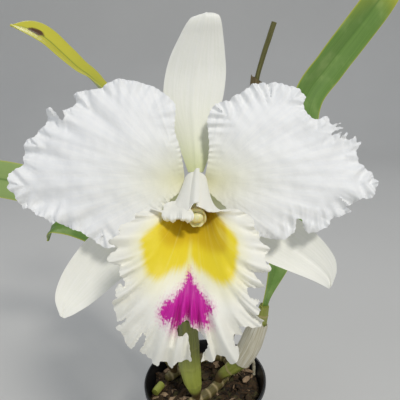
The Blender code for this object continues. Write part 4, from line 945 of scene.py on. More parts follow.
def make_lip(finish, flower):
    """The lip: its frilled outline filled in angle and share, then rolled into the funnel."""
    margin = spaced_through(np.array(LIP_MARGIN, float) * (DEGREE_RUN, SHARE_RUN), OUTLINE_SPACING, 0.36)
    margin = crimped(margin, -flower.scallop / MM)
    flat, triangles = filled_outline(lip_outline(margin))
    near, _ = edge_distance(flat, margin, closed=False)
    angle, share = flat[:, 0] / DEGREE_RUN, flat[:, 1] / SHARE_RUN
    facing = lip_facing(angle, share)
    ridges, frill = lip_rise(angle, share, near, flower.frill * 1.6 / MM)
    surface = lip_points(angle, share) + facing * ridges[:, None] - np.outer(frill, [0, 1, 0])
    half = flower.petal_thickness / MM / 2
    offset = facing * (half * (0.65 + 0.35 * smooth_step(0, 5, near)))[:, None]
    # The streak is partly the lip's own pale midline and partly painted light falling between the hood's lobes
    streak = smooth_step(0.30, 0.42, share) * (1 - smooth_step(0.5, 0.58, share))
    # The deep mask is partly the throat's own deeper ochre and partly painted shade where the hood's shadow
    # falls
    shade_edge = np.interp(angle, *np.transpose(SHADE_EDGE))
    masks = {"yellow": lip_field(flat, YELLOW_EDGE), "blaze": lip_field(flat, BLAZE_EDGE),
             "streak": 0.8 * streak * np.exp(-((angle + 5) / 4.5) ** 2),
             "deep": 0.6 * (1 - smooth_step(-0.05, 0.04, share - shade_edge))}
    veins = np.column_stack([angle / 180, share])
    points, faces, maps, masks = blade(surface + offset, surface - offset, triangles, {"veins": veins}, masks)
    flap_points, flap_faces, flap_maps, flap_masks = hood_flap(half)
    start = len(points)
    faces += [tuple(start + i for i in face) for face in flap_faces]
    maps = {key: np.vstack([value, flap_maps[key]]) for key, value in maps.items()}
    masks = {key: np.concatenate([value, flap_masks[key]]) for key, value in masks.items()}
    return make_piece("lip", np.vstack([points, flap_points]), faces, finish, maps, masks, BLADE_SHARP, True)


def hood_flap(half):
    """The frilled flap that hangs from the left edge of the hood, curled up at its inner end, as a blade."""
    rows = np.array([curve_through(row, FLAP_LONG, 0.45) for row in FLAP_ROWS])
    net = np.array([curve_through(column, FLAP_DEEP, 0.45) for column in rows.transpose(1, 0, 2)])
    facing = unit(np.cross(np.gradient(net, axis=0), np.gradient(net, axis=1)))
    facing = facing * np.sign(-facing[..., 1:2] + 1e-6)
    place = np.linspace(0, 1, FLAP_LONG)[:, None]
    down = np.linspace(0, 1, FLAP_DEEP)[None, :]
    rim = np.exp(-((1 - down) / 0.28) ** 2)
    wave = 0.3 * rim * np.sin(math.tau * place * 3.6 + 1.4 * np.sin(place * 7))
    wave = wave + 0.12 * rim * np.sin(math.tau * place * 11 + 2 * np.sin(place * 9))
    wave = wave + 0.2 * waves(net[..., 0], net[..., 2], 4, 5.0)
    surface = (net + facing * wave[..., None]).reshape(-1, 3)
    offset = (facing * (half * (1 - 0.35 * rim))[..., None]).reshape(-1, 3)
    # The flap lies far outside both coloured areas
    outside, nothing = np.full(len(surface), -30.0), np.zeros(len(surface))
    masks = {"yellow": outside, "blaze": outside, "streak": nothing, "deep": nothing}
    veins = np.column_stack([np.repeat(-0.6 - 0.1 * place[:, 0], FLAP_DEEP),
                             np.tile(0.9 + 0.2 * down[0], FLAP_LONG)])
    return blade(surface + offset, surface - offset, grid_triangles(FLAP_LONG, FLAP_DEEP), {"veins": veins},
                 masks)


def make_column(finish):
    """The column, with the toothed collar round its hollow tip."""
    path = curve_through(COLUMN_PATH, 60)
    radii = curve_through(np.column_stack([COLUMN_PATH, COLUMN_RADII]), 60)[:, 3]
    rings = rings_along(path, radii, COLUMN_SIDES, reference=(1, 0, 0), flat=0.85)
    tangent = unit(path[-1] - path[-2])
    turn = turns(COLUMN_SIDES)
    teeth = (0.28 * np.cos(turn * 7) + 0.15 * np.cos(turn * 4 + 1))[:, None] * tangent
    collar = [rings[-1] + teeth]
    for shrink, drop, toothed in ((0.9, 0.0, True), (0.8, 0.35, True), (0.72, TIP_HOLLOW, False)):
        ring = path[-1] + (rings[-1] - path[-1]) * shrink
        collar.append(ring + teeth * shrink ** 3 * toothed - tangent * drop)
    return solid_of_rings("column", np.concatenate([rings[:-1], np.array(collar)]), finish, flower=True)


def make_anther_cap(finish):
    """The small rounded cap in the hollow of the column's tip, with a groove down its middle."""
    path = curve_through(COLUMN_PATH, 10)
    tangent = unit(path[-1] - path[-2])
    across = np.array([1.0, 0, 0])
    start = path[-1] - tangent * (TIP_HOLLOW - 1.5 * CLEARANCE)
    turn = turns(40)
    round_way = np.cos(turn)[:, None] * across + 0.8 * np.sin(turn)[:, None] * np.cross(tangent, across)
    rings = []
    for share in np.linspace(0, 1, 16):
        radius = 2.4 * math.sqrt(max(1 - (1.25 * share - 0.25) ** 2, 0.012))
        groove = 1 - 0.16 * np.exp(-(np.cos(turn) / 0.22) ** 2) * share
        rings.append(start + tangent * 1.8 * share + radius * groove[:, None] * round_way)
    return solid_of_rings("anther_cap", np.array(rings), finish, flower=True)


def bulb_stations(name):
    """Points and radii along a pseudobulb, as many as the solid has."""
    return curve_through(np.column_stack(BULBS[name]), BULB_RINGS)


def bulb_top(name, beside=(0, 0, 0)):
    """Where something stands on a bulb's flat top, and the direction in which it leaves."""
    axis = bulb_stations(name)[:, :3]
    along = unit(axis[-1] - axis[-2])
    beside = np.array(beside) - along * np.dot(beside, along)
    return axis[-1] + beside + along * TOP_GAP, along


def leaf_width(share, broad):
    """Half width of a strap leaf along its length, as a share of the widest, with a blunt tip."""
    narrow = 0.2 + 0.8 * smooth_step(0.0, broad[0], share)
    return narrow * np.sqrt(np.clip(1 - smooth_step(broad[1], 1.0, share) ** 1.7, 0.012, 1))


def make_leaf(name, leaf, finish, plant):
    """A folded strap leaf with a keel, ribs and a thin margin."""
    foot, along = bulb_top(leaf["bulb"], leaf["beside"])
    midrib = curve_through([foot, foot + 3 * along, foot + 8 * along] + leaf["midrib"], 200)
    # Stations stand closer together towards the tip
    share = 1 - (1 - np.linspace(0, 1, LEAF_STATIONS)) ** 1.4
    even = np.linspace(0, 1, 200)
    point = np.column_stack([np.interp(share, even, column) for column in midrib.T])
    tangent = unit(np.column_stack([np.interp(share, even, column)
                                    for column in unit(np.gradient(midrib, axis=0)).T]))
    turned = smooth_step(*leaf["turn"], share)
    towards = np.outer(1 - turned, leaf["side_from"]) + np.outer(turned, leaf["side_to"])
    side = unit(towards - tangent * np.sum(towards * tangent, axis=1, keepdims=True))
    up = np.cross(side, tangent)
    across = np.linspace(-1, 1, LEAF_COLUMNS + 1)
    fold = math.radians(leaf["fold"]) * (0.55 + 0.45 * np.sin(math.pi * np.minimum(share + 0.25, 1)))
    fold, half = fold[:, None, None], (leaf["half_width"] * leaf_width(share, leaf["broad"]))[:, None, None]
    point, side, up, a = point[:, None, :], side[:, None, :], up[:, None, :], across[None, :, None]
    rise = np.abs(a) ** 1.25 * np.sin(fold) - 0.08 * a ** 4
    surface = point + half * (a * np.cos(fold) * side + rise * up)
    slope = np.sign(a) * fold * smooth_step(0.0, 0.12, np.abs(a))
    half_thick = plant.leaf_thickness / MM / 2 * (1 - 0.72 * np.abs(a) ** 3)
    offset = (np.cos(slope) * up - np.sin(slope) * side) * half_thick
    keel = 1 + 0.5 * np.exp(-(a / 0.1) ** 2)
    front, back = (surface + offset).reshape(-1, 3), (surface - offset * keel).reshape(-1, 3)
    run = np.repeat(share, LEAF_COLUMNS + 1)
    wide = np.tile(across, LEAF_STATIONS)
    old = smooth_step(*LEAF_AGE.get(name, (0.9, 1.2)), run + 0.04 * waves(run * 40, wide * 3, 3, 6.0))
    spot = np.hypot((run - 0.93) / 0.022, (wide + 0.1) / 0.42) + 0.35 * waves(run * 90, wide * 3, 6, 2.0)
    # The crease mask is painted shade in the groove along the midrib
    masks = {"edge": 0.6 * smooth_step(0.93, 0.985, np.abs(wide)), "crease": 0.8 * np.exp(-(wide / 0.06) ** 2),
             "old": old, "pale": np.full(len(run), 0.7 if name == PALE_LEAF else 0.0),
             "blotch": (1 - smooth_step(0.75, 1.05, spot)) * (name == SPOTTED_LEAF)}
    return two_faced(name, front, back, grid_triangles(LEAF_STATIONS, LEAF_COLUMNS + 1), finish,
                     {"run": np.column_stack([wide / 2, run * run_along(midrib)[-1] / MAP_RUN])}, masks)


def make_bulb(name, finish):
    """A grooved spindle on its straight foot, with rings where its sheaths were."""
    (x, y, z), *_ = BULBS[name][0]
    low = [(x, y, height, FOOT_RADIUS) for height in (FOOT_HEIGHT, FOOT_HEIGHT + 1.5, z - 0.6)]
    body = curve_through(bulb_stations(name), FINE_RINGS)[1:]
    path = body[:, :3]
    turn = turns(FINE_SIDES)
    run = run_along(path)
    lobes = BULB_RIB * np.cos(BULB_LOBES * turn) * smooth_step(0, 12, run)[:, None]
    wrinkle = 0.016 * waves(turn * 9, run[:, None] * 0.09, sorted(BULBS).index(name), 1.2)
    ridge = sum(np.exp(-((run - share * run[-1]) / 0.7) ** 2) for share in (0.16, 0.42, 0.68, 0.9))
    radii = body[:, 3][:, None] * (1 + lobes + wrinkle - 0.02) + 0.3 * ridge[:, None]
    rings = rings_along(path, radii, FINE_SIDES)
    # The foot's rings start where the body's do and run the same way round
    first = rings[0] - path[0]
    angle = math.atan2(first[0][1], first[0][0]) + turn * np.sign(np.cross(first[0], first[1])[2])
    foot = [np.column_stack([x + r * np.cos(angle), y + r * np.sin(angle), np.full(FINE_SIDES, z)])
            for x, y, z, r in low]
    height = np.concatenate([np.zeros(len(foot)), run])
    ridge = np.concatenate([np.zeros(len(foot)), np.minimum(ridge, 1)])
    # On the front bulb the yellow green low down, fading out higher up, is partly its young colour and partly
    # painted light on its lower part
    fresh_and_lit = {"pseudobulb_front": smooth_step(0, 6, height) * (1 - smooth_step(20, 55, height)),
             "pseudobulb_right": 0.5 + 0 * height}.get(name, 0 * height)
    masks = {"foot": 1 - smooth_step(1, 9, height), "ring": ridge * RING_WEAR.get(name, 0.7), "fresh_and_lit": fresh_and_lit}
    masks = {key: np.repeat(value, FINE_SIDES) for key, value in masks.items()}
    return solid_of_rings(name, np.concatenate([foot, rings]), finish, masks=masks)


def make_rhizome(finish):
    """The creeping stem: woody, ringed with the scars of its old scale leaves."""
    count, sides = 260, 32
    path = curve_through([(x, y, RHIZOME_HEIGHT) for x, y in RHIZOME_PATH], count)
    share = np.linspace(0, 1, count)
    run = share * run_along(path)[-1]
    thick = RHIZOME_RADIUS - 0.25
    radii = np.interp(share, [0, 0.04, 0.93, 1], [3.0, thick, thick, 2.6])
    scars = np.abs(np.sin(math.pi * run / 7.5)) ** 14
    rough = 0.15 * waves(turns(sides) * 3, run[:, None] / 3, 9, 3.0)
    rings = rings_along(path, (radii + 0.25 * scars)[:, None] + rough, sides, reference=(0, 0, 1))
    masks = {"foot": np.full(sides * count, 0.35), "ring": np.repeat(scars, sides)}
    return solid_of_rings("rhizome", rings, finish, masks=masks, dome=1.0)


def make_sleeve(name, points, radii, finish, flat=1.0, slant=0.0, ragged=1.0, folds=0.03):
    """A thin open sheath round a stem, creased along its fibres, with an uneven mouth."""
    sides, count = 72, 70
    path = curve_through(points, count)
    inner = curve_through(np.column_stack([points, radii]), count)[:, 3][:, None]
    turn = turns(sides)
    share = np.linspace(0, 1, count)
    crease = 1 + folds * waves(turn * 6, share[:, None] * 3, 4, 1.3) + 0.012 * np.cos(turn * 24)
    mouth = slant * np.cos(turn) + ragged * (0.6 * np.sin(turn * 5 + 1) + 0.4 * np.sin(turn * 11 + 2))
    lift = smooth_step(0.86, 1.0, share)[:, None, None] * mouth[None, :, None] * unit(path[-1] - path[-2])
    inside = rings_along(path, inner * crease, sides, flat=flat) + lift
    outside = rings_along(path, inner * crease + SHEATH_WALL, sides, flat=flat) + lift
    loops = np.concatenate([outside, inside[::-1]])
    faces = []
    for i in range(len(loops)):
        faces += ring_faces(i * sides, (i + 1) % len(loops) * sides, sides)
    along = np.concatenate([share, share[::-1]]) * run_along(path)[-1] / MAP_RUN
    grid = np.column_stack([np.tile(turn / math.tau, 2 * count), np.repeat(along, sides)])
    return make_piece(name, loops.reshape(-1, 3), faces, finish, {"run": grid})


def make_stalk(finish):
    """The flower stalk and ribbed ovary in one, with the round seat that carries the flower's parts."""
    foot, along = bulb_top("pseudobulb_front", STALK_BESIDE)
    points = STALK_PATH + [foot + 6 * along, foot]
    stalk = curve_through(np.column_stack([points, STALK_RADII]), STALK_RINGS)
    middle = flower_point(0, HUB_BEHIND, 0)
    axis = unit(flower_point(0, 1, 0) - flower_point(0, 0, 0))
    hub = [(*(middle + axis * HUB_RADIUS * math.sin(a)), HUB_RADIUS * math.cos(a) * 0.98)
           for a in np.radians(np.linspace(-84, 44, 22))]
    stations = np.vstack([hub, stalk])
    at = np.arange(len(stations)) - float(len(hub))
    # Six ribs run down the ovary and fade where the plain stalk starts, which is marked by a ring
    ribs = (1 - smooth_step(50, 78, at)) * (at >= 0)
    joint = np.exp(-((at - 73.0) / 4) ** 2)
    radii = stations[:, 3][:, None] * (1 + 0.07 * ribs[:, None] * np.cos(6 * turns(STALK_SIDES)) - 0.01)
    rings = rings_along(stations[:, :3], radii, STALK_SIDES, reference=(1, 0, 0))
    return solid_of_rings("flower_stalk", rings, finish, masks={"ring": np.repeat(joint * 0.8, STALK_SIDES)})


def make_tube(name, points, radii, finish, sides=24, count=90, rough=0.05, lowest=None, fresh_and_lit=0.0):
    """A slightly uneven round stem, moved so that its lowest point is at a height if one is given."""
    path = curve_through(points, count)
    radius = curve_through(np.column_stack([points, radii]), count)[:, 3]
    lumps = 1 - rough / 2 + rough / 2 * waves(turns(sides) * 2, np.linspace(0, 1, count)[:, None] * 30, 8, 3.0)
    rings = rings_along(path, radius[:, None] * lumps, sides, reference=(0.1, 1, 0.1))
    if lowest is not None:
        rings = rings + np.array([0, 0, lowest - rings[..., 2].min()])
    return solid_of_rings(name, rings, finish, masks={"fresh_and_lit": np.full(sides * count, fresh_and_lit)}, dome=0.3)


def inner_radius_at(height):
    """Radius of the pot's inside at a height above the table."""
    share = height / (POT_HEIGHT - RIM_BAND_HEIGHT)
    return POT_FOOT_RADIUS + (POT_SHOULDER_RADIUS - POT_FOOT_RADIUS) * share - POT_WALL


def pot_profile():
    """Radius and height round the pot's section: up the outside, over the rim band and down the inside."""
    shoulder = POT_HEIGHT - RIM_BAND_HEIGHT
    profile = [(POT_FOOT_RADIUS - 1.2, 0), (POT_FOOT_RADIUS - 0.3, 0.3), (POT_FOOT_RADIUS, 1.2)]
    for share in np.linspace(0.05, 0.99, 12):
        taper = (POT_SHOULDER_RADIUS - POT_FOOT_RADIUS) * share
        profile.append((POT_FOOT_RADIUS + taper - 0.05, shoulder * share))
    profile += [(POT_SHOULDER_RADIUS + 0.2, shoulder - 0.1), (POT_RIM_RADIUS - 0.5, shoulder + 0.05),
                (POT_RIM_RADIUS, shoulder + 0.7), (POT_RIM_RADIUS, POT_HEIGHT - 0.9),
                (POT_RIM_RADIUS - 0.3, POT_HEIGHT - 0.25), (POT_RIM_RADIUS - 0.9, POT_HEIGHT),
                (POT_RIM_RADIUS - 1.5, POT_HEIGHT - 0.2), (POT_RIM_RADIUS - 1.8, POT_HEIGHT - 0.9),
                (inner_radius_at(shoulder) + 0.5, shoulder + 0.2)]
    return profile + [(inner_radius_at(height), height) for height in (70.0, 40.0, POT_FLOOR)]


def make_pot(finish):
    """The pot, turned from its profile, with a ring of round holes through its floor."""
    profile = pot_profile()
    loops = profile + [(r, POT_FLOOR) for r in FLOOR_CIRCLES] + [(r, 0.0) for r in FLOOR_CIRCLES[::-1]]
    turn = turns(POT_SIDES)
    points = np.vstack([np.column_stack([r * np.cos(turn), r * np.sin(turn), np.full(POT_SIDES, z)])
                        for r, z in loops]).tolist()
    top_strip, middle, low_strip = (len(profile) + i for i in (1, 3, 5))
    faces = []
    for i in range(len(loops)):
        if i not in (top_strip, middle, low_strip):
            faces += ring_faces(i * POT_SIDES, (i + 1) % len(loops) * POT_SIDES, POT_SIDES)
    # The innermost circles are closed with flat faces
    faces.append(tuple(range(middle * POT_SIDES, (middle + 1) * POT_SIDES)))
    faces.append(tuple(reversed(range((middle + 1) * POT_SIDES, (middle + 2) * POT_SIDES))))
    # Each strip between two floor circles is filled round its holes
    span = POT_SIDES // DRAIN_COUNT
    for floor, outer, inner in ((POT_FLOOR, top_strip, top_strip + 1), (0.0, low_strip + 1, low_strip)):
        for hole in range(DRAIN_COUNT):
            at = math.tau * hole / DRAIN_COUNT
            centre = DRAIN_RING_RADIUS * np.array([math.cos(at), math.sin(at)])
            places = [(hole * span - span // 2 + i) % POT_SIDES for i in range(span + 1)]
            edge = [inner * POT_SIDES + i for i in places] + [outer * POT_SIDES + i for i in places[::-1]]
            start = len(points)
            for index in edge:
                away = np.array(points[index][:2]) - centre
                points.append([*(centre + away / np.linalg.norm(away) * DRAIN_RADIUS), floor])
            for i in range(len(edge)):
                j = (i + 1) % len(edge)
                quad = (edge[i], edge[j], start + j, start + i)
                faces.append(quad if floor == 0.0 else quad[::-1])
    # The wall of each hole joins its upper and lower circle, whose points run round in the same order
    per_hole = 2 * (span + 1)
    upper = len(loops) * POT_SIDES
    for a in range(upper, upper + DRAIN_COUNT * per_hole, per_hole):
        faces += ring_faces(a, a + DRAIN_COUNT * per_hole, per_hole)
    return make_piece("pot", points, faces, finish, sharp=35)


def bark_chips():
    """Middle, turn, tilt and height of each chip that shapes the top of the bark."""
    draw = random.Random(CHIP_SEED)
    chips = []
    for _ in range(CHIP_COUNT):
        radius = 46 * math.sqrt(draw.random())
        turn = draw.uniform(0, math.tau)
        chips.append((radius * math.cos(turn), radius * math.sin(turn), draw.uniform(0, math.pi),
                      draw.uniform(-0.3, 0.3), draw.uniform(-CHIP_RELIEF, CHIP_RELIEF)))
    return chips


def bark_height(x, y, chips, stem):
    """Height of the bark's surface: each point lies on the nearest chip's own slope."""
    best, height = 1e9, BARK_LEVEL
    for cx, cy, turn, slope, lift in chips:
        along = (x - cx) * math.cos(turn) + (y - cy) * math.sin(turn)
        beside = (y - cy) * math.cos(turn) - (x - cx) * math.sin(turn)
        distance = (0.6 * along) ** 2 + (1.3 * beside) ** 2
        if distance < best:
            best, height = distance, BARK_LEVEL + lift + slope * beside
    bed = RHIZOME_HEIGHT - RHIZOME_RADIUS - CLEARANCE
    if np.min(np.hypot(stem[:, 0] - x, stem[:, 1] - y)) < BED_REACH:
        return bed
    return min(height, bed)


def chip_shape(draw, x, y, z, size):
    """Points and faces of one chip of bark: a flat, broken, many-sided flake."""
    sides = draw.randint(5, 8)
    long_side, short_side = size * draw.uniform(0.9, 1.5), size * draw.uniform(0.45, 0.8)
    thick = size * draw.uniform(0.16, 0.34)
    corners = sorted(draw.uniform(0, math.tau) for _ in range(sides))
    if max(b - a for a, b in zip(corners, corners[1:])) > 2.4:
        corners = [math.tau * i / sides for i in range(sides)]
    rotation = (Matrix.Rotation(draw.uniform(0, math.tau), 3, "Z")
                @ Matrix.Rotation(draw.gauss(0, 0.42), 3, "X")
                @ Matrix.Rotation(draw.gauss(0, 0.3), 3, "Y"))
    loops = []
    for share, height in ((0.72, -1.0), (1.0, -0.4), (0.97, 0.45), (0.7, 1.0)):
        for corner in corners:
            reach = share * draw.uniform(0.86, 1.1)
            local = Vector((long_side * reach * math.cos(corner), short_side * reach * math.sin(corner),
                            thick * height * draw.uniform(0.75, 1.15)))
            loops.append(rotation @ local + Vector((x, y, z)))
    faces = [tuple(range(sides))[::-1], tuple(range(3 * sides, 4 * sides))]
    for i in range(3):
        faces += ring_faces(i * sides, (i + 1) * sides, sides)
    return [tuple(p) for p in loops], faces


def make_bark(finish, plant):
    """The bark: a rough bed that fills the pot, under a layer of loose broken chips."""
    chips = bark_chips()
    stem = curve_through(RHIZOME_PATH, 60)
    foot = POT_FLOOR + CLEARANCE
    edge = BARK_LEVEL - CHIP_RELIEF
    points = []
    for radius, z in ((inner_radius_at(foot) - 0.5, foot), (inner_radius_at(edge) - 0.5, edge - 2)):
        points += [(radius * math.cos(a), radius * math.sin(a), z) for a in turns(BED_SIDES)]
    for i in range(1, BED_CIRCLES):
        radius = (inner_radius_at(edge) - 0.5) * (1 - i / BED_CIRCLES)
        for a in turns(BED_SIDES):
            x, y = radius * math.cos(a), radius * math.sin(a)
            points.append((x, y, bark_height(x, y, chips, stem) - 1.9))
    points.append((0, 0, BARK_LEVEL - 2))
    faces = [tuple(reversed(range(BED_SIDES)))]
    for i in range(BED_CIRCLES):
        faces += ring_faces(i * BED_SIDES, (i + 1) * BED_SIDES, BED_SIDES)
    last = BED_CIRCLES * BED_SIDES
    faces += [(last + i, last + (i + 1) % BED_SIDES, len(points) - 1) for i in range(BED_SIDES)]
    own = [0.15] * len(points)
    draw = random.Random(CHIP_SEED + 1)
    for _ in range(plant.chip_count):
        radius = 44.0 * math.sqrt(draw.random())
        angle = draw.uniform(0, math.tau)
        size = draw.uniform(2.2, 5.6)
        reach = min(radius, inner_radius_at(edge) - size - 0.8)
        x, y = reach * math.cos(angle), reach * math.sin(angle)
        z = bark_height(x, y, chips, stem) - draw.uniform(0.3, 1.6)
        if np.min(np.hypot(stem[:, 0] - x, stem[:, 1] - y)) < BED_REACH + 3:
            z -= 1.2
        chip_points, chip_faces = chip_shape(draw, x, y, z, size)
        start = len(points)
        points += chip_points
        faces += [tuple(start + i for i in face) for face in chip_faces]
        own += [draw.uniform(0.0, 1.0)] * len(chip_points)
    return make_piece("bark_medium", points, faces, finish, masks={"chip": own}, sharp=28)


def colour_setting(name, description, value):
    return FloatVectorProperty(name=name, description=description, size=4, subtype="COLOR",
                               default=srgb(value))


def length_setting(name, description, millimetres):
    return FloatProperty(name=name, description=description, default=millimetres * MM, unit="LENGTH")


class OrchidFlowerSettings(bpy.types.PropertyGroup):
    petal_thickness: length_setting("Petal thickness", "Thickness of the petals and the lip", 0.5)
    frill: length_setting("Frill", "Height of the fine frill along the petals", 0.55)
    scallop: length_setting("Scallops", "Depth of the tiny scallops of the margins", 0.22)
    foot_reach: length_setting("Green reach", "How far the green runs up a sepal", 15)
    petal: colour_setting("Petal", "White of the petals", "#FAFAF8")
    petal_shade: colour_setting("Petal veins", "White between the petal's veins", "#F4F5F5")
    claw: colour_setting("Petal foot", "Green yellow at the foot of the petals", "#E6E4BC")
    sepal: colour_setting("Sepal", "White of the sepals", "#FAF9F0")
    sepal_shade: colour_setting("Sepal veins", "Between the sepal's veins", "#F5F5EA")
    sepal_foot: colour_setting("Sepal foot", "Green at the foot of the sepals", "#DDE2AE")
    lip: colour_setting("Lip", "Warm white of the lip", "#FAF8EC")
    lemon: colour_setting("Lemon", "Pale streaks in the yellow", "#F8EE86")
    yellow: colour_setting("Throat yellow", "Yellow of the lip", "#F3DC2C")
    # Partly the throat's own deeper yellow, partly painted shade of the hood's shadow
    ochre_and_shade: colour_setting("Throat ochre", "Deep yellow inside the lip", "#D0A814")
    cream: colour_setting("Cream", "Cream round the yellow of the lip", "#F8F3CC")
    magenta: colour_setting("Blaze", "Magenta blaze of the lip", "#D41EA6")
    magenta_deep: colour_setting("Blaze shade", "Darker magenta of the blaze", "#B81490")
    column: colour_setting("Column", "Lemon cream of the column", "#EFE59E")


class OrchidPlantSettings(bpy.types.PropertyGroup):
    leaf_thickness: length_setting("Leaf thickness", "Thickness at the midrib", 1.4)
    chip_count: IntProperty(name="Bark chips", description="Loose chips on the bark", default=520, min=0)
    leaf: colour_setting("Leaf", "Green of the leaves", "#709442")
    # Also used as painted shade along the midrib's crease
    leaf_dark: colour_setting("Leaf shade", "Darker green between ribs", "#5E8236")
    leaf_pale: colour_setting("Leaf underside", "Paler green", "#A8BE74")
    leaf_yellow: colour_setting("Leaf margin", "Yellow green of margins and old tips", "#D2CC3C")
    bulb: colour_setting("Pseudobulb", "Green of a young pseudobulb", "#7E8238")
    bulb_dark: colour_setting("Pseudobulb shade", "Darker green of the grooves", "#5C6028")
    # Young yellow green, on the front bulb partly painted light on its lower part
    fresh_and_lit: colour_setting("Young green", "Yellow green low on the young pseudobulbs", "#A6AE4C")
    old_bulb: colour_setting("Old pseudobulb", "Olive brown of an old pseudobulb", "#8A8248")
    old_bulb_dark: colour_setting("Old pseudobulb shade", "Browner grooves", "#5E5630")
    foot_brown: colour_setting("Foot", "Brown at the foot of a pseudobulb", "#5A4828")
    ring: colour_setting("Ring", "Tan rings left by old sheaths", "#B8A678")
    paper: colour_setting("Papery sheath", "Pale dry sheath", "#DEDACA")
    paper_dark: colour_setting("Papery sheath shade", "Fibres of the pale sheath", "#C0B89C")
    pot: colour_setting("Pot", "Black plastic", "#1B1C1E")
    bark: colour_setting("Bark", "Lighter chips", "#4E3C26")
    bark_dark: colour_setting("Dark bark", "Damp chips", "#1E1912")
    moss: colour_setting("Moss", "Olive moss and algae on the bark", "#5A5630")
    dry_chip: colour_setting("Dry chip", "Tan of the few dry chips", "#B89C7C")
    bark_red: colour_setting("Split bark", "Red brown of the split faces", "#644628")
    root: colour_setting("Root", "Pale root skin", "#D8D0B4")


class OrchidStageSettings(bpy.types.PropertyGroup):
    floor: colour_setting("Floor", "Pale floor and backdrop", "#DCDBD7")
    key_power: FloatProperty(name="Key", description="Strength of the main light", default=9.2, unit="POWER")
    sky: FloatProperty(name="Sky", description="Strength of the even light", default=0.38)


class ORCHID_OT_pot(bpy.types.Operator):
    """Makes the pot"""
    bl_idname = "orchid.pot"
    bl_label = "Pot"

    def execute(self, context):
        plant = context.scene.orchid_plant
        hand_over(make_pot(pot_plastic(plant)), "thin_dark_plastic", "pot")
        return {"FINISHED"}


class ORCHID_OT_bark(bpy.types.Operator):
    """Makes the bark that fills the pot"""
    bl_idname = "orchid.bark"
    bl_label = "Bark"

    def execute(self, context):
        plant = context.scene.orchid_plant
        hand_over(make_bark(fir_bark(plant), plant), "fir_bark", "bark_medium")
        return {"FINISHED"}


class ORCHID_OT_stems(bpy.types.Operator):
    """Makes the creeping stem, the pseudobulbs and the cut stub"""
    bl_idname = "orchid.stems"
    bl_label = "Stems"

    def execute(self, context):
        plant = context.scene.orchid_plant
        old = bulb_skin(plant, "old_pseudobulb_skin", plant.old_bulb, plant.old_bulb_dark)
        young = bulb_skin(plant, "pseudobulb_skin", plant.bulb, plant.bulb_dark)
        hand_over(make_rhizome(old), "creeping_stem", "rhizome")
        for name in BULBS:
            finish, slot = (young, "green_pseudobulb") if name in GREEN_BULBS else (old, "old_pseudobulb")
            hand_over(make_bulb(name, finish), slot, name)
        stub = make_tube("cut_stub", [(-41, -9, 92), (-38.5, -5, 92.4), (-36, -1, 92.8)], [3.15, 3.3, 3.15],
                         young, sides=32, count=24, lowest=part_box("cut_stub")[0].z / MM, fresh_and_lit=0.9)
        hand_over(stub, "green_pseudobulb", "cut_stub")
        return {"FINISHED"}


class ORCHID_OT_sheaths(bpy.types.Operator):
    """Makes the dry and green sheaths and last year's cut stalk"""
    bl_idname = "orchid.sheaths"
    bl_label = "Sheaths"

    def execute(self, context):
        plant = context.scene.orchid_plant
        pale = dry_sheath("papery_sheath", plant.paper, plant.paper_dark)
        brown = dry_sheath("brown_sheath", srgb("#84724C"), srgb("#54482C"))
        olive = dry_sheath("dry_stalk_skin", srgb("#7C7A44"), srgb("#58542C"))
        green = dry_sheath("green_sheath", srgb("#9AA858"), srgb("#76883C"), 0.5)
        # The papery sheath follows the bulb from its fourth station to its seventh
        points, radii = (table[3:7] for table in BULBS["pseudobulb_right"])
        radii = [r * (1 + BULB_RIB) + CLEARANCE + 0.5 for r in radii]
        hand_over(make_sleeve("sheath_right", points, radii, pale, slant=2.0, folds=0.015),
                  "papery_sheath", "sheath_right")
        foot, along = bulb_top("pseudobulb_front", STALK_BESIDE)
        points = [foot, foot + 6 * along, (-7.4, -41.5, 188), (-6, -49, 212), (-4.9, -55.4, 228)]
        hand_over(make_sleeve("flower_sheath", points, [4.3, 5.6, 8.3, 7.9, 5.0], green, flat=0.62, slant=3.6,
                              ragged=0.4, folds=0.01), "green_sheath", "flower_sheath")
        foot, along = bulb_top("pseudobulb_rear_right")
        points = [foot + 0.8 * along, (46, 40, 250), (50, 40, 290), (52.6, 40, 320)]
        hand_over(make_sleeve("old_flower_sheath", points, [4.1, 6.7, 5.5, 3.7], brown, flat=0.64, slant=2.4),
                  "dry_stalk", "old_flower_sheath")
        hand_over(make_tube("old_flower_stalk", [foot] + OLD_STALK_PATH, OLD_STALK_RADII, olive),
                  "dry_stalk", "old_flower_stalk")
        return {"FINISHED"}


class ORCHID_OT_leaves(bpy.types.Operator):
    """Makes the four leaves"""
    bl_idname = "orchid.leaves"
    bl_label = "Leaves"

    def execute(self, context):
        plant = context.scene.orchid_plant
        finish = leaf_cuticle(plant)
        for name, leaf in LEAVES.items():
            hand_over(make_leaf(name, leaf, finish, plant), "leaf", name)
        return {"FINISHED"}


class ORCHID_OT_flower_stalk(bpy.types.Operator):
    """Makes the flower stalk and its ovary"""
    bl_idname = "orchid.flower_stalk"
    bl_label = "Flower stalk"

    def execute(self, context):
        plant = context.scene.orchid_plant
        finish = bulb_skin(plant, "flower_stalk_skin", srgb("#A2B45C"), srgb("#86A044"))
        hand_over(make_stalk(finish), "flower_stalk", "flower_stalk")
        return {"FINISHED"}


class ORCHID_OT_sepals(bpy.types.Operator):
    """Makes the three sepals"""
    bl_idname = "orchid.sepals"
    bl_label = "Sepals"

    def execute(self, context):
        flower = context.scene.orchid_flower
        finish = sepal_tissue(flower)
        for name, rows in SEPALS.items():
            hand_over(make_sepal(name, rows, finish, flower), "pale_green_sepal", name)
        return {"FINISHED"}


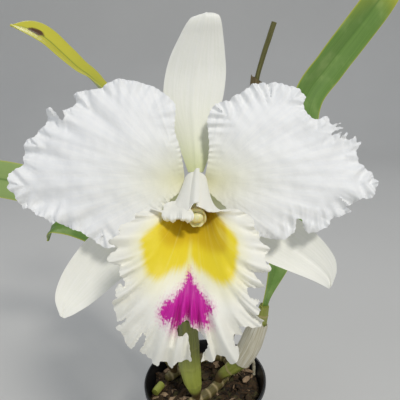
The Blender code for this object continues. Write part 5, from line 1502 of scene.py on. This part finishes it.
class ORCHID_OT_petals(bpy.types.Operator):
    """Makes the two petals"""
    bl_idname = "orchid.petals"
    bl_label = "Petals"

    def execute(self, context):
        flower = context.scene.orchid_flower
        finish = petal_tissue(flower)
        for name, petal in PETALS.items():
            hand_over(make_petal(name, petal, finish, flower), "white_petal", name)
        return {"FINISHED"}


class ORCHID_OT_lip(bpy.types.Operator):
    """Makes the lip"""
    bl_idname = "orchid.lip"
    bl_label = "Lip"

    def execute(self, context):
        flower = context.scene.orchid_flower
        hand_over(make_lip(lip_tissue(flower), flower), "lip", "lip")
        return {"FINISHED"}


class ORCHID_OT_column(bpy.types.Operator):
    """Makes the column and its cap"""
    bl_idname = "orchid.column"
    bl_label = "Column"

    def execute(self, context):
        finish = column_wax(context.scene.orchid_flower)
        hand_over(make_column(finish), "column", "column")
        hand_over(make_anther_cap(finish), "anther_cap", "anther_cap")
        return {"FINISHED"}


class ORCHID_OT_roots(bpy.types.Operator):
    """Makes the pale roots on the bark"""
    bl_idname = "orchid.roots"
    bl_label = "Roots"

    def execute(self, context):
        finish = root_skin(context.scene.orchid_plant)
        front = make_tube("root_front", [(-17, -32, 92), (-25, -34, 92), (-33, -28, 92), (-38, -20, 92)],
                          [1.45, 1.65, 1.65, 1.35], finish, sides=20, rough=0.12,
                          lowest=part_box("root_front")[0].z / MM)
        hand_over(front, "root", "root_front")
        tip = (42, 12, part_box("root_right")[0].z / MM + 0.1)
        right = make_tube("root_right", [(23.8, 1.2, 87.2), (26, 2.4, 91), (31, 6, 96), (37, 9, 97),
                                         (41, 10.5, 92), (42, 12, 86), tip],
                          [1.45, 1.65, 1.65, 1.65, 1.65, 1.55, 1.35], finish, sides=20, rough=0.12)
        hand_over(right, "root", "root_right")
        return {"FINISHED"}


class ORCHID_OT_stage(bpy.types.Operator):
    """Makes the floor, the lights and the camera"""
    bl_idname = "orchid.stage"
    bl_label = "Stage"

    def execute(self, context):
        stage = context.scene.orchid_stage
        make_backdrop(stage)
        make_lights(stage)
        make_camera()
        return {"FINISHED"}


def make_backdrop(stage):
    """A pale floor that curves up behind the plant."""
    finish, tree, shader = new_finish("painted_board", 0.9)
    mottled = layered(tree, stage.floor, (grain(tree, 220.0), (0.3, 0.7, 0.0, 0.06), srgb("#B8B7B3")))
    tree.links.new(mottled, shader.inputs["Base Color"])
    profile = [(-2.5, 0.0), (1.1, 0.0)]
    profile += [(1.1 + 0.5 * math.sin(a), 0.5 - 0.5 * math.cos(a)) for a in np.radians(np.arange(6, 91, 6))]
    profile.append((1.6, 3.0))
    points = [(x, y, z) for y, z in profile for x in (-3.0, 3.0)]
    mesh = bpy.data.meshes.new("floor")
    mesh.from_pydata(points, [], [(2 * i, 2 * i + 1, 2 * i + 3, 2 * i + 2) for i in range(len(profile) - 1)])
    mesh.shade_smooth()
    mesh.materials.append(finish)
    made = bpy.data.objects.new("floor", mesh)
    bpy.context.scene.collection.objects.link(made)


def make_lights(stage):
    """A high soft key from the front right, and even light from all round."""
    target = Vector((0.0, -0.1, 0.26))
    for name, place, power, size, colour in (
            ("key", (0.42, -0.95, 1.25), stage.key_power, 0.22, (1.0, 0.975, 0.93)),
            ("fill", (-1.0, -0.7, 0.7), stage.key_power * 0.12, 0.9, (0.88, 0.93, 1.0)),
            ("rim", (-0.3, 0.9, 1.1), stage.key_power * 0.25, 0.5, (1.0, 1.0, 1.0))):
        light = bpy.data.lights.new(name, "AREA")
        light.energy = power
        light.size = size
        light.color = colour
        made = bpy.data.objects.new(name, light)
        made.location = place
        made.rotation_euler = (target - Vector(place)).to_track_quat("-Z", "Y").to_euler()
        bpy.context.scene.collection.objects.link(made)
    world = bpy.data.worlds.new("studio")
    world.use_nodes = True
    world.node_tree.nodes["Background"].inputs["Color"].default_value = (0.86, 0.91, 1.0, 1.0)
    world.node_tree.nodes["Background"].inputs["Strength"].default_value = stage.sky
    bpy.context.scene.world = world
    bpy.context.scene.view_settings.view_transform = "Standard"


def make_camera():
    """A camera that looks straight into the flower."""
    camera = bpy.data.cameras.new("camera")
    camera.angle = math.radians(CAMERA_VIEW)
    camera.clip_start = 0.01
    made = bpy.data.objects.new("camera", camera)
    turn = flower_matrix().to_3x3()
    right, ahead, up = (turn @ Vector(axis) for axis in ((1, 0, 0), (0, 1, 0), (0, 0, 1)))
    placed = Matrix((right, up, -ahead)).transposed().to_4x4()
    placed.translation = Vector(CAMERA_AT) * MM
    made.matrix_world = placed
    bpy.context.scene.collection.objects.link(made)
    bpy.context.scene.camera = made


STEPS = (ORCHID_OT_stage, ORCHID_OT_pot, ORCHID_OT_bark, ORCHID_OT_stems, ORCHID_OT_sheaths,
         ORCHID_OT_leaves, ORCHID_OT_flower_stalk, ORCHID_OT_sepals, ORCHID_OT_petals, ORCHID_OT_lip,
         ORCHID_OT_column, ORCHID_OT_roots)


class ORCHID_PT_sidebar(bpy.types.Panel):
    bl_idname = "ORCHID_PT_sidebar"
    bl_label = "Orchid"
    bl_space_type = "VIEW_3D"
    bl_region_type = "UI"
    bl_category = "Orchid"

    def draw(self, context):
        for step in STEPS:
            self.layout.operator(step.bl_idname)
        for settings in (context.scene.orchid_flower, context.scene.orchid_plant, context.scene.orchid_stage):
            for key in settings.__annotations__:
                self.layout.prop(settings, key)


CLASSES = (OrchidFlowerSettings, OrchidPlantSettings, OrchidStageSettings, *STEPS, ORCHID_PT_sidebar)


def register():
    for kind in CLASSES:
        bpy.utils.register_class(kind)
    bpy.types.Scene.orchid_flower = PointerProperty(type=OrchidFlowerSettings)
    bpy.types.Scene.orchid_plant = PointerProperty(type=OrchidPlantSettings)
    bpy.types.Scene.orchid_stage = PointerProperty(type=OrchidStageSettings)


def unregister():
    del bpy.types.Scene.orchid_stage
    del bpy.types.Scene.orchid_plant
    del bpy.types.Scene.orchid_flower
    for kind in reversed(CLASSES):
        bpy.utils.unregister_class(kind)


def main():
    register()
    for step in STEPS:
        group, name = step.bl_idname.split(".")
        getattr(getattr(bpy.ops, group), name)()
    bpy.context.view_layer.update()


if __name__ == "__main__":
    main()
